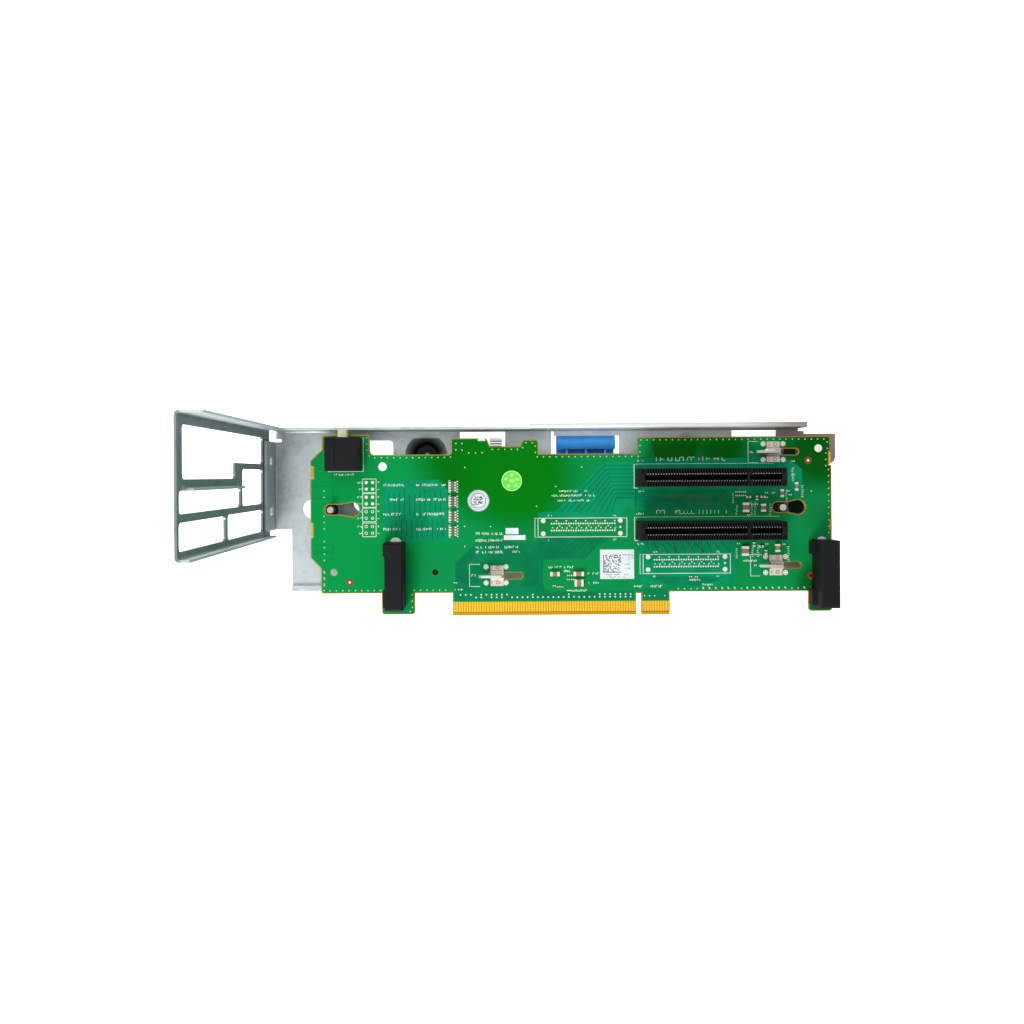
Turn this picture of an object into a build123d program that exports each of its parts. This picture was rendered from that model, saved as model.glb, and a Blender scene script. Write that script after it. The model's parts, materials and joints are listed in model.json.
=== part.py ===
from build123d import *
import os

os.makedirs("parts", exist_ok=True)

# A two slot server riser: a green circuit board carried in front of a folded sheet steel bracket.
# All sizes are in millimetres. x runs to the right and y is measured up from the datum corner,
# where the bracket's top flange meets its side wall, so y is negative on the board. h is a height
# above the bracket's front face. The bracket lies on its back, on the bottoms of its two pressed cones.

# Bracket sheet
steel = 1.0
bend = 1.1
cut_over = 1.0
cone_depth = 4.0
cone_mouth_r = 9.0
cone_floor_r = 4.6
cone_hole_r = 1.2
cone_wall = 0.6
cone_x = (60.4, 164.6)
cone_y = -9.7
plate_right = 216.8
plate_bottom = -64.7
foot_left = 6.5
wall_top = -4.2
wall_bottom = -39.2
wall_height = 16.3
ear_right = 224.0
ear_top = -2.1
ear_bottom = -14.2
shoulder_x = 211.4
flange_y = -1.0
flange_left = 0.3
flange_right = 209.1
flange_depth = 12.0
hem_left = 101.7
hem_gap = 0.15
hem_return = 4.4
foot_hem_return = 2.0
fold_lap = 3.0
ear_corner_r = 3.0
relief = 2.3
relief_x = 1.4
relief_y = -3.2
tool_hole_r = 3.84
tool_holes = ((14.6, -31.1), (35.0, -28.6))
window_left = 27.5
window_right = 47.2
window_top = -3.8
window_bottom = -20.0
window_corner = 1.8
latch_notch_left = 73.9
latch_notch_right = 92.0
latch_notch_bottom = -12.4
latch_x = 88.1
latch_width = 4.8
latch_y = -4.2
latch_height = 14.6
latch_end = 2.4
notch_top = -0.6
grip_window_left = 110.4
grip_window_right = 137.7
grip_window_bottom = -14.2
lip_left = 111.4
lip_bottom = -2.4
rear_notch_left = 182.6
rear_notch_right = 200.4
rear_notch_bottom = -8.6

# Rear panel, riveted outside the bracket's side wall
panel_sheet = 0.8
panel_start = 5.8
panel_end = 125.0
panel_top = 0.65
panel_bottom = -41.7
top_lip_width = 8.1
top_lip_start = 13.0
bottom_lip_width = 4.2
bottom_lip_start = 9.6
shelf_width = 3.6
shelf_y = -21.9
shelf_start = 57.5
shelf_end = 118.5
panel_windows = (
    # start height, end height, bottom y, top y
    (18.5, 60.2, -13.2, -3.1),
    (60.2, 119.8, -18.6, -3.1),
    (53.0, 122.9, -28.4, -21.9),
    (18.4, 50.1, -28.3, -15.3),
    (73.3, 123.2, -38.9, -30.8),
    (18.5, 70.4, -38.9, -30.6),
)
panel_corner = 1.5
shelf_bend = 0.7
shelf_relief = 0.8
rivet_h = 8.6
rivet_y = (-11.8, -31.4)
rivet_head_r = 1.9
rivet_head = 0.7
rivet_taper = 25

# Circuit board
board = 1.57
board_h = 10.23
board_left = 16.0
board_right = 218.3
board_bottom = -63.6
board_top = -9.8
finger_left = 71.0
finger_right = 155.3
finger_bottom = -72.4
key_left = 142.3
key_right = 144.3
key_top = -64.1
finger_pitch = 1.0
finger_width = 0.7
finger_end = 1.2
finger_length = 4.1
finger_foil = 0.05
bevel_height = 1.1
bevel_depth = 0.45
long_fingers = 71
short_fingers = 11

# Studs that stand on the bracket and reach through the board's two keyholes
stud_x = (24.2, 198.4)
stud_y = -31.0
stud_r = 2.5
stud_pin_r = 1.25
stud_pin_top = 15.4
keyhole_narrow_shift = (-0.8, -1.1)
keyhole_wide_shift = (8.0, 7.0)
keyhole_narrow_r = 1.9
keyhole_wide_r = 2.75

# Plain round holes in the board: x, y, radius
board_holes = ((44.0, -14.4, 1.7), (24.9, -55.4, 1.45), (64.3, -55.6, 1.25))

# Hooks bent out of the bracket, and the earthing clips that grip them
hooks = ((90.0, -57.0), (197.4, -9.5), (198.2, -53.5))
hook_width = 4.4
hook_nose = 4.5
hook_top = 16.2
hook_tip = 2.0
hook_chamfer = 0.9
hook_grip_h = 1.0
slot_width = 2.3
slot_reach = 8.2
slot_back = 5.0
slot_end_r = 1.1
clip_width = 5.0
clip_length = 7.9
clip_foil = 0.3
clip_leaf = 2.3
clip_gap = 0.15
clip_shift = 0.8
clip_bridge = 0.5
clip_foot = 2.35

# Card slots
slot_left = 142.3
slot_length = 55.6
slot_body = 7.0
slot_height = 11.25
slot_y = (-19.25, -39.57)
card_gap = 1.9
card_depth = 8.0
slot_long = (144.05, 182.95)
slot_short = (183.85, 196.0)
cell_start = (1.35, 1.4)
cell_pitch = 1.0
cell_length = 0.62
cell_width = 2.15
cell_depth = 5.0
contact_r = 0.26
contact_set_back = 0.4
contact_drop = 0.8
slot_chamfer = 0.15
long_cells = 38
short_cells = 11

# Intrusion switch
switch_left = 23.2
switch_right = 36.1
switch_top = -3.2
switch_bottom = -16.0
switch_height = 11.0
switch_wall = 1.2
plunger_width = 3.25
plunger_left = 27.8
plunger_h = 16.6
plunger_thick = 5.2
plunger_reach = 2.9
plunger_travel = 2.0
plunger_clear = 0.15
plunger_collar = 1.0
plunger_body = 5.0
collar_length = 1.2
rib_pitch = 0.8
rib_groove = 0.3
spring_strip = 0.3
spring_width = 2.6
spring_folds = 5
spring_solid = 3.38
switch_chamfer = 0.3
groove_x = 27.1
groove_width = 0.4
groove_inset = 1.3

# Guide blocks
guide_left = (45.6, 210.6)
guide_width = 7.1
guide_top = -43.5
guide_bottom = -69.0
guide_height = 11.6
guide_chamfer = 0.7
guide_foot = 1.3
guide_foot_y = ((-49.0, -44.1), (-68.6, -62.2))
guide_foot_height = 4.0
guide_peg = 2.2
guide_peg_y = (-45.2, -67.4)

# Blue pull grip
grip_left = 112.6
grip_right = 135.6
grip_wall = 1.1
grip_back_h = -3.3
grip_top = -0.4
grip_bottom = -11.6
grip_front_bottom = -7.8
grip_bulge = 3.0
grip_drop = 0.6
grip_rib = 0.8
grip_ribs = 3
grip_shoulder = 0.4
grip_clear = 0.03

# Labels and small parts on the board
label_sheet = 0.12
green_label = (94.2, -20.2, 4.0)
white_label = (81.2, -27.8, 4.25)
code_label = (134.9, -52.8, 13.2, 11.4)
chip_height = (1.3, 0.7, 0.6)
resistor_pack = (2.0, 4.0)
strip_labels = ((94.2, -39.7, 5.0, 2.4), (95.2, -42.2, 8.4, 1.8))

overall_left = -(steel + panel_sheet)
hem_height = 2 * steel + hem_gap
datum_x = -(overall_left + ear_right) / 2
datum_y = -(hem_height + finger_bottom) / 2
plate_front = cone_depth + steel
board_face = board_h + board
finger_end_y = finger_bottom + finger_end
finger_top_y = finger_end_y + finger_length


def face_at(h):
    """A sketch plane parallel to the bracket, h above its front face."""
    return Plane(origin=(datum_x, datum_y, plate_front + h))


def side_at(x):
    """A sketch plane across the bracket at x: its own axes are y and the height."""
    return Plane(origin=(datum_x + x, datum_y, plate_front), x_dir=(0, 1, 0), z_dir=(1, 0, 0))


def end_at(y):
    """A sketch plane at y that looks along the bracket: its own axes are x and the height."""
    return Plane(origin=(datum_x, datum_y + y, plate_front), x_dir=(1, 0, 0), z_dir=(0, -1, 0))


def span(left, bottom, right, top, corner=0):
    """A rectangle between two corners, added to the sketch in hand."""
    with Locations(((left + right) / 2, (bottom + top) / 2)):
        if corner:
            RectangleRounded(right - left, top - bottom, corner)
        else:
            Rectangle(right - left, top - bottom)


# Main bracket: plate, side wall, top flange with its hemmed edge, bottom hem, hooks and latch
with BuildPart() as main_bracket:
    with BuildSketch(face_at(-steel)) as plate_sketch:
        with BuildLine():
            Polyline(
                (flange_left, flange_y),
                (shoulder_x, flange_y),
                (shoulder_x, ear_top),
                (ear_right, ear_top),
                (ear_right, ear_bottom),
                (plate_right, ear_bottom),
                (plate_right, plate_bottom + fold_lap),
                (foot_left, plate_bottom + fold_lap),
                (foot_left, wall_bottom),
                (0, wall_bottom),
                (0, wall_top),
                (flange_left, wall_top),
                close=True,
            )
        make_face()
        ear_corner = plate_sketch.vertices().group_by(Axis.X)[-1].sort_by(Axis.Y)[0]
        fillet(ear_corner, ear_corner_r)
        with Locations((relief_x, relief_y)):
            Rectangle(relief, relief, mode=Mode.SUBTRACT)
        for x, y in tool_holes:
            with Locations((x, y)):
                Circle(tool_hole_r, mode=Mode.SUBTRACT)
        for x in cone_x:
            with Locations((x, cone_y)):
                Circle(cone_mouth_r, mode=Mode.SUBTRACT)
    extrude(amount=steel)
    # Top flange, plain on the left and hemmed on the right
    with BuildSketch(side_at(flange_left)):
        with BuildLine() as plain_edge:
            FilletPolyline(
                (-fold_lap, -steel / 2),
                (steel / 2, -steel / 2),
                (steel / 2, flange_depth),
                radius=bend,
            )
        trace(line_width=steel)
    extrude(amount=hem_left - flange_left)
    hem_r = (steel + hem_gap) / 2
    hem_centre = flange_depth - hem_r - steel / 2
    with BuildSketch(side_at(hem_left)):
        with BuildLine() as hemmed_edge:
            FilletPolyline(
                (-fold_lap, -steel / 2),
                (steel / 2, -steel / 2),
                (steel / 2, hem_centre),
                radius=bend,
            )
            ThreePointArc(
                (steel / 2, hem_centre),
                (steel / 2 + hem_r, hem_centre + hem_r),
                (steel / 2 + 2 * hem_r, hem_centre),
            )
            Line(
                (steel / 2 + 2 * hem_r, hem_centre),
                (steel / 2 + 2 * hem_r, hem_centre - hem_return),
            )
        trace(line_width=steel)
    extrude(amount=flange_right - hem_left)
    # Bottom hem
    foot_centre = plate_bottom + hem_r + steel / 2
    with BuildSketch(side_at(foot_left)):
        with BuildLine() as foot_edge:
            Line((foot_centre + fold_lap, -steel / 2), (foot_centre, -steel / 2))
            ThreePointArc(
                (foot_centre, -steel / 2),
                (foot_centre - hem_r, -steel / 2 + hem_r),
                (foot_centre, -steel / 2 + 2 * hem_r),
            )
            Line(
                (foot_centre, -steel / 2 + 2 * hem_r),
                (foot_centre + foot_hem_return, -steel / 2 + 2 * hem_r),
            )
        trace(line_width=steel)
    extrude(amount=plate_right - foot_left)
    # Side wall
    with BuildSketch(end_at(wall_top)):
        with BuildLine() as wall_edge:
            FilletPolyline(
                (fold_lap, -steel / 2),
                (-steel / 2, -steel / 2),
                (-steel / 2, wall_height),
                radius=bend,
            )
        trace(line_width=steel)
    extrude(amount=wall_top - wall_bottom)
    # Windows and notches
    with BuildSketch(face_at(-2 * steel)):
        span(window_left, window_bottom, window_right, window_top, window_corner)
        span(latch_notch_left, latch_notch_bottom, latch_notch_right, notch_top)
        span(grip_window_left, grip_window_bottom, lip_left, notch_top)
        span(lip_left, grip_window_bottom, grip_window_right, lip_bottom)
        span(rear_notch_left, rear_notch_bottom, rear_notch_right, notch_top)
    extrude(amount=3 * steel, mode=Mode.SUBTRACT)
    # Pressed cones
    for x in cone_x:
        with BuildSketch(side_at(x)):
            with BuildLine():
                Polyline(
                    (cone_y + cone_hole_r, -plate_front),
                    (cone_y + cone_floor_r, -plate_front),
                    (cone_y + cone_mouth_r, -steel),
                    (cone_y + cone_mouth_r, 0),
                    (cone_y + cone_mouth_r - cone_wall, 0),
                    (cone_y + cone_floor_r - cone_wall, steel - plate_front),
                    (cone_y + cone_hole_r, steel - plate_front),
                    close=True,
                )
            make_face()
        cone_axis = Axis((datum_x + x, datum_y + cone_y, 0), (0, 0, 1))
        revolve(axis=cone_axis)
    # Hooks: a stem through the board and a nose over it
    for x, y in hooks:
        with BuildSketch(end_at(y + steel / 2)):
            with BuildLine():
                Polyline(
                    (x - hook_width, -steel / 2),
                    (x, -steel / 2),
                    (x, hook_top),
                    (x - hook_width - hook_nose + hook_chamfer, hook_top),
                    (x - hook_width - hook_nose, hook_top - hook_chamfer),
                    (x - hook_width - hook_nose, hook_top - hook_tip),
                    (x - hook_width, board_face + hook_grip_h),
                    close=True,
                )
            make_face()
        extrude(amount=steel)
    # Latch finger with its turned down end
    with BuildSketch(side_at(latch_x - latch_width / 2)):
        with BuildLine() as latch_edge:
            FilletPolyline(
                (latch_notch_bottom - fold_lap, -steel / 2),
                (latch_y, -steel / 2),
                (latch_y, latch_height),
                (latch_y - latch_end, latch_height),
                radius=bend,
            )
        trace(line_width=steel)
    extrude(amount=latch_width)
main_bracket.part.label = "main_bracket"
export_step(main_bracket.part, "parts/main_bracket.step")

# Rear panel with its windows, two long lips and the shelf tab
with BuildPart() as rear_panel:
    web = -steel - panel_sheet / 2
    with BuildSketch(face_at(panel_start)):
        with BuildLine():
            FilletPolyline(
                (overall_left + top_lip_width, panel_top - panel_sheet / 2),
                (web, panel_top - panel_sheet / 2),
                (web, panel_bottom + panel_sheet / 2),
                (overall_left + bottom_lip_width, panel_bottom + panel_sheet / 2),
                radius=bend,
            )
        trace(line_width=panel_sheet)
    extrude(amount=panel_end - panel_start)
    with BuildSketch(side_at(-3 * steel)):
        for start, end, bottom, top in panel_windows:
            span(bottom, start, top, end, panel_corner)
        # The two tall windows run into each other
        joint_h = panel_windows[0][1]
        span(panel_windows[0][2], joint_h - panel_corner, panel_windows[0][3], joint_h + panel_corner)
        for end in (shelf_start - shelf_relief, shelf_end + shelf_relief):
            span(shelf_y - panel_sheet, end - shelf_relief, shelf_y + 2 * panel_sheet, end + shelf_relief)
    extrude(amount=3 * steel, mode=Mode.SUBTRACT)
    # The lips stand back from the bracket's own folds
    with BuildSketch(face_at(panel_start)):
        span(-steel, panel_top - bend - panel_sheet, top_lip_width, panel_top + panel_sheet)
    extrude(amount=top_lip_start - panel_start, mode=Mode.SUBTRACT)
    with BuildSketch(face_at(panel_start)):
        span(-steel, panel_bottom - panel_sheet, bottom_lip_width, panel_bottom + bend + panel_sheet)
    extrude(amount=bottom_lip_start - panel_start, mode=Mode.SUBTRACT)
    with BuildSketch(face_at(shelf_start)):
        with BuildLine():
            FilletPolyline(
                (web, shelf_y + fold_lap),
                (web, shelf_y + panel_sheet / 2),
                (overall_left + shelf_width, shelf_y + panel_sheet / 2),
                radius=shelf_bend,
            )
        trace(line_width=panel_sheet)
    extrude(amount=shelf_end - shelf_start)
rear_panel.part.label = "rear_panel"
export_step(rear_panel.part, "parts/rear_panel.step")

# Heads of the rivets that hold the panel to the side wall
with BuildPart() as panel_rivets:
    with BuildSketch(side_at(0)):
        for y in rivet_y:
            with Locations((y, rivet_h)):
                Circle(rivet_head_r)
    extrude(amount=rivet_head, taper=rivet_taper)
panel_rivets.part.label = "panel_rivets"
export_step(panel_rivets.part, "parts/panel_rivets.step")

# Two shouldered studs that locate the board
with BuildPart() as board_studs:
    for start, end, r in ((0, board_h, stud_r), (board_h, stud_pin_top, stud_pin_r)):
        with BuildSketch(face_at(start)):
            for x in stud_x:
                with Locations((x, stud_y)):
                    Circle(r)
        extrude(amount=end - start)
board_studs.part.label = "board_studs"
export_step(board_studs.part, "parts/board_studs.step")

# Circuit board, drawn corner by corner: x, y and the corner's radius
board_outline = (
    (20.6, -1.95, 1.2),
    (39.1, -1.95, 1.2),
    (39.1, board_top, 1.8),
    (70.7, board_top, 1.0),
    (70.7, -3.55, 1.0),
    (84.6, -3.55, 1.0),
    (85.8, -6.8, 0),
    (97.5, -6.8, 0),
    (98.7, -4.3, 0),
    (104.6, -4.3, 1.2),
    (104.6, board_top, 0),
    (142.9, board_top, 0),
    (142.9, -3.5, 1.2),
    (217.9, -3.5, 1.2),
    (217.9, -9.5, 0),
    (217.3, -9.5, 0),
    (217.3, -14.8, 0),
    (board_right, -14.8, 0),
    (board_right, -71.4, 1.2),
    (209.2, -71.4, 1.2),
    (209.2, board_bottom, 0),
    (finger_right, board_bottom, 0),
    (finger_right, finger_bottom, 0),
    (finger_left, finger_bottom, 0),
    (finger_left, board_bottom, 0),
    (56.5, board_bottom, 0),
    (56.5, -71.8, 1.2),
    (43.5, -71.8, 1.2),
    (43.5, board_bottom, 0),
    (20.0, board_bottom, 1.2),
    (20.0, -53.8, 1.2),
    (board_left, -49.6, 1.2),
    (board_left, -42.0, 0),
    (board_left + 0.9, -41.6, 0),
    (board_left + 0.9, -36.4, 0),
    (board_left, -36.0, 0),
    (board_left, -19.2, 0),
    (board_left + 1.2, -18.8, 0),
    (board_left + 1.2, -14.4, 0),
    (board_left, -14.0, 0),
    (board_left, -12.0, 0),
    (20.6, -7.6, 1.2),
)
with BuildPart() as circuit_board:
    with BuildSketch(face_at(board_h)):
        with BuildLine():
            FilletPolyline(
                [(x, y) for x, y, r in board_outline],
                radius=[r for x, y, r in board_outline],
                close=True,
            )
        make_face()
    extrude(amount=board)
    with BuildSketch(face_at(board_h - cut_over)):
        span(key_left, finger_bottom - cut_over, key_right, key_top)
        for x, y, r in board_holes:
            with Locations((x, y)):
                Circle(r)
        for x, narrow_shift, wide_shift in zip(stud_x, keyhole_narrow_shift, keyhole_wide_shift):
            narrow = x + narrow_shift
            wide = x + wide_shift
            with Locations((narrow, stud_y)):
                Circle(keyhole_narrow_r)
            with Locations((wide, stud_y)):
                Circle(keyhole_wide_r)
            with BuildLine():
                Polyline(
                    (narrow, stud_y - keyhole_narrow_r),
                    ((narrow + wide) / 2, stud_y - keyhole_narrow_r),
                    (wide, stud_y - keyhole_wide_r),
                    (wide, stud_y + keyhole_wide_r),
                    ((narrow + wide) / 2, stud_y + keyhole_narrow_r),
                    (narrow, stud_y + keyhole_narrow_r),
                    close=True,
                )
            make_face()
        for x, y in hooks:
            span(x - slot_back, y - slot_width / 2, x + slot_reach, y + slot_width / 2, slot_end_r)
        for left in guide_left:
            for y in guide_peg_y:
                with Locations((left + guide_width / 2, y)):
                    Rectangle(guide_peg, guide_peg)
    extrude(amount=board + 2 * cut_over, mode=Mode.SUBTRACT)
    # The card edge is bevelled on both faces
    with BuildSketch(side_at(finger_left - cut_over)):
        for edge, inward in ((board_h, 1), (board_face, -1)):
            with BuildLine():
                Polyline(
                    (finger_bottom - cut_over, edge - inward),
                    (finger_bottom + bevel_height, edge - inward),
                    (finger_bottom + bevel_height, edge),
                    (finger_bottom, edge + inward * bevel_depth),
                    (finger_bottom - cut_over, edge + inward * bevel_depth),
                    close=True,
                )
            make_face()
    extrude(amount=finger_right - finger_left + 2 * cut_over, mode=Mode.SUBTRACT)
circuit_board.part.label = "circuit_board"
export_step(circuit_board.part, "parts/circuit_board.step")

# Gold contacts of the card edge, on both faces: foils that thin out towards the edge
finger_x = [finger_left + 0.7 + i * finger_pitch for i in range(long_fingers)]
finger_x += [key_right + 0.5 + i * finger_pitch for i in range(short_fingers)]
with BuildPart() as front_contact:
    with BuildSketch(side_at(-finger_width / 2)):
        with BuildLine():
            Polyline(
                (finger_end_y, board_face),
                (finger_top_y, board_face),
                (finger_top_y, board_face + finger_foil),
                close=True,
            )
        make_face()
    extrude(amount=finger_width)
middle_of_board = Plane(origin=(0, 0, plate_front + board_h + board / 2))
back_contact = mirror(front_contact.part, about=middle_of_board)
with BuildPart() as edge_contacts:
    with Locations([(x, 0, 0) for x in finger_x]):
        add(front_contact.part)
        add(back_contact)
edge_contacts.part.label = "edge_contacts"
export_step(edge_contacts.part, "parts/edge_contacts.step")

# Card slots: a housing with a keyed channel, and its rows of contacts
cell_x = [slot_long[0] + cell_start[0] + i * cell_pitch for i in range(long_cells)]
cell_x += [slot_short[0] + cell_start[1] + i * cell_pitch for i in range(short_cells)]
for slot_name, y in zip(("upper_slot", "lower_slot"), slot_y):
    with BuildPart() as housing:
        with BuildSketch(face_at(board_face)):
            span(slot_left, y - slot_body / 2, slot_left + slot_length, y + slot_body / 2)
        extrude(amount=slot_height)
        top_edges = housing.faces().sort_by(Axis.Z)[-1].edges()
        chamfer(top_edges, slot_chamfer)
        with BuildSketch(face_at(board_face + slot_height - card_depth)):
            for start, end in (slot_long, slot_short):
                span(start, y - card_gap / 2, end, y + card_gap / 2)
        extrude(amount=card_depth, mode=Mode.SUBTRACT)
        with BuildSketch(face_at(board_face + slot_height - cell_depth)):
            for side in (-1, 1):
                middle = y + side * (card_gap + cell_width) / 2
                for x in cell_x:
                    span(
                        x - cell_length / 2,
                        middle - cell_width / 2,
                        x + cell_length / 2,
                        middle + cell_width / 2,
                    )
        extrude(amount=cell_depth, mode=Mode.SUBTRACT)
    housing.part.label = slot_name + "_housing"
    export_step(housing.part, "parts/" + slot_name + "_housing.step")
    with BuildPart() as contacts:
        with BuildSketch(face_at(board_face + slot_height - cell_depth)):
            for side in (-1, 1):
                middle = y + side * (card_gap / 2 + contact_set_back)
                for x in cell_x:
                    with Locations((x, middle)):
                        RegularPolygon(contact_r, 3, rotation=-90 * side)
        extrude(amount=cell_depth - contact_drop)
    contacts.part.label = slot_name + "_contacts"
    export_step(contacts.part, "parts/" + slot_name + "_contacts.step")

# Intrusion switch: hollow housing, sprung plunger and its spring
plunger_mid = plunger_left + plunger_width / 2
collar_top = switch_top - switch_wall - plunger_clear
collar_bottom = collar_top - plunger_body
bore_bottom = collar_bottom - plunger_travel - spring_solid
with BuildPart() as intrusion_switch_body:
    with BuildSketch(face_at(board_face)):
        span(switch_left, switch_bottom, switch_right, switch_top)
    extrude(amount=switch_height)
    chamfer(intrusion_switch_body.faces().sort_by(Axis.Z)[-1].edges(), switch_chamfer)
    # Chamber for the plunger's collar, and the mouth for its stem
    half = plunger_width / 2 + plunger_collar + plunger_clear
    with BuildSketch(end_at(switch_top - switch_wall)):
        with Locations((plunger_mid, plunger_h)):
            Rectangle(2 * half, plunger_thick + 2 * plunger_clear)
    extrude(amount=switch_top - switch_wall - bore_bottom, mode=Mode.SUBTRACT)
    with BuildSketch(end_at(switch_top + cut_over)):
        with Locations((plunger_mid, plunger_h)):
            Rectangle(plunger_width + 2 * plunger_clear, plunger_thick + 2 * plunger_clear)
    extrude(amount=switch_wall + 2 * cut_over, mode=Mode.SUBTRACT)
    # Parting groove on the front
    with BuildSketch(face_at(board_face + switch_height - groove_width)):
        with Locations((groove_x, (switch_bottom + switch_top) / 2)):
            Rectangle(groove_width, switch_top - switch_bottom - 2 * groove_inset)
    extrude(amount=cut_over, mode=Mode.SUBTRACT)
intrusion_switch_body.part.label = "intrusion_switch_body"
export_step(intrusion_switch_body.part, "parts/intrusion_switch_body.step")

with BuildPart() as intrusion_plunger:
    with BuildSketch(end_at(switch_top + plunger_reach)):
        with Locations((plunger_mid, plunger_h)):
            Rectangle(plunger_width, plunger_thick)
    extrude(amount=switch_top + plunger_reach - collar_bottom)
    with BuildSketch(end_at(collar_top)):
        with Locations((plunger_mid, plunger_h)):
            Rectangle(plunger_width + 2 * plunger_collar, plunger_thick)
    extrude(amount=collar_length)
    # Ribbed end
    with BuildSketch(side_at(plunger_left - cut_over)):
        for i in range(3):
            with Locations((switch_top + plunger_reach - rib_pitch * (i + 0.75), plunger_h + plunger_thick / 2)):
                Rectangle(rib_groove, 2 * rib_groove)
    extrude(amount=plunger_width + 2 * cut_over, mode=Mode.SUBTRACT)
intrusion_plunger.part.label = "intrusion_plunger"
export_step(intrusion_plunger.part, "parts/intrusion_plunger.step")

# The spring is a strip folded to and fro between the chamber's end and the plunger
fold_pitch = (collar_bottom - bore_bottom - spring_strip) / spring_folds
spring_points = []
for i in range(spring_folds + 1):
    side = 1 if i % 2 else -1
    fold_y = bore_bottom + spring_strip / 2 + i * fold_pitch
    spring_points.append((plunger_mid - side * spring_width / 2, fold_y))
    spring_points.append((plunger_mid + side * spring_width / 2, fold_y))
with BuildPart() as plunger_spring:
    with BuildSketch(face_at(plunger_h - spring_width / 2)):
        with BuildLine():
            Polyline(*spring_points)
        trace(line_width=spring_strip)
    extrude(amount=spring_width)
plunger_spring.part.label = "plunger_spring"
export_step(plunger_spring.part, "parts/plunger_spring.step")

# Guide blocks, pegged through the board's two tabs
for side_name, left in zip(("left", "right"), guide_left):
    with BuildPart() as guide:
        with BuildSketch(face_at(board_face)):
            span(left, guide_bottom, left + guide_width, guide_top)
        extrude(amount=guide_height)
        chamfer(guide.faces().sort_by(Axis.Z)[-1].edges(), guide_chamfer)
        with BuildSketch(face_at(board_face)):
            for bottom, top in guide_foot_y:
                span(left - guide_foot, bottom, left + guide_foot, top)
        extrude(amount=guide_foot_height)
        with BuildSketch(face_at(board_h)):
            for y in guide_peg_y:
                with Locations((left + guide_width / 2, y)):
                    Rectangle(guide_peg, guide_peg)
        extrude(amount=board)
    guide.part.label = side_name + "_guide_block"
    export_step(guide.part, "parts/" + side_name + "_guide_block.step")

# Earthing clips: soldered feet and two leaves that pinch the hook
for clip_name, (x, y) in zip(("lower_left", "upper_right", "lower_right"), hooks):
    middle = x - slot_back + clip_width / 2 + clip_shift
    with BuildPart() as clip:
        for side in (-1, 1):
            with BuildSketch(side_at(middle - clip_width / 2)):
                with BuildLine():
                    FilletPolyline(
                        (y + side * clip_length / 2, board_face + clip_foil / 2),
                        (y + side * (clip_length / 2 - clip_foot), board_face + clip_foil / 2),
                        (y + side * (steel / 2 + clip_foil / 2 + clip_gap), board_face + clip_leaf),
                        radius=clip_foil,
                    )
                trace(line_width=clip_foil)
            extrude(amount=clip_width)
        with BuildSketch(face_at(board_face)):
            span(
                middle + clip_width / 2 - clip_bridge,
                y - clip_length / 2,
                middle + clip_width / 2,
                y + clip_length / 2,
            )
        extrude(amount=clip_foil)
    clip.part.label = clip_name + "_earth_clip"
    export_step(clip.part, "parts/" + clip_name + "_earth_clip.step")

# Blue pull grip that clips over the lip of the bracket's window
hook_y = lip_bottom - grip_clear
with BuildPart() as pull_grip:
    with BuildSketch(side_at(grip_left)):
        with BuildLine():
            Polyline(
                (grip_top, grip_back_h),
                (grip_top, -steel - grip_clear),
                (hook_y, -steel - grip_clear),
                (hook_y, grip_shoulder),
            )
            ThreePointArc(
                (hook_y, grip_shoulder),
                ((lip_bottom + grip_front_bottom) / 2, grip_bulge),
                (grip_front_bottom, grip_bulge - grip_drop),
            )
            Line(
                (grip_front_bottom, grip_bulge - grip_drop),
                (grip_front_bottom, grip_bulge - grip_drop - grip_wall),
            )
            ThreePointArc(
                (grip_front_bottom, grip_bulge - grip_drop - grip_wall),
                ((lip_bottom + grip_front_bottom) / 2, grip_bulge - grip_wall),
                (hook_y - grip_wall, grip_shoulder - grip_wall),
            )
            Polyline(
                (hook_y - grip_wall, grip_shoulder - grip_wall),
                (hook_y - grip_wall, grip_back_h + grip_wall),
                (grip_bottom, grip_back_h + grip_wall),
                (grip_bottom, grip_back_h),
                (grip_top, grip_back_h),
            )
        make_face()
    extrude(amount=grip_right - grip_left)
    # Ribs under the front face, which show below it
    grip_middle = (lip_bottom + grip_front_bottom) / 2
    for i in range(grip_ribs):
        rib_x = grip_left + (grip_right - grip_left) * (i + 0.5) / grip_ribs
        with BuildSketch(side_at(rib_x - grip_rib / 2)):
            span(grip_bottom, grip_back_h + grip_wall, grip_middle, grip_bulge - grip_wall)
        extrude(amount=grip_rib)
pull_grip.part.label = "pull_grip"
export_step(pull_grip.part, "parts/pull_grip.step")

# Chip capacitors and resistor packs: x, y, length along x, length along y
large_capacitors = (
    (110.7, -56.4, 3.6, 1.6),
    (119.9, -56.4, 4.0, 1.6),
    (120.0, -59.9, 3.4, 2.6),
    (184.8, -31.0, 2.4, 3.6),
    (191.6, -31.2, 1.8, 3.0),
    (184.5, -47.9, 2.6, 3.6),
    (197.0, -46.8, 1.8, 3.0),
)
small_capacitors = (
    (199.0, -25.6, 1.2, 3.0),
    (204.6, -23.0, 1.2, 3.2),
    (186.0, -27.0, 1.6, 0.8),
    (189.2, -27.4, 0.8, 1.6),
    (191.6, -27.0, 1.6, 0.8),
    (188.0, -45.4, 0.8, 1.6),
    (190.8, -46.2, 1.6, 0.8),
    (192.6, -48.4, 0.8, 1.6),
)
resistor_packs = ((71.3, -22.3), (71.3, -28.1), (71.3, -33.8), (71.3, -39.6))
with BuildPart() as large_chip_capacitors:
    with BuildSketch(face_at(board_face)):
        for x, y, length, width in large_capacitors:
            span(x - length / 2, y - width / 2, x + length / 2, y + width / 2)
    extrude(amount=chip_height[0])
large_chip_capacitors.part.label = "large_chip_capacitors"
export_step(large_chip_capacitors.part, "parts/large_chip_capacitors.step")

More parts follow.
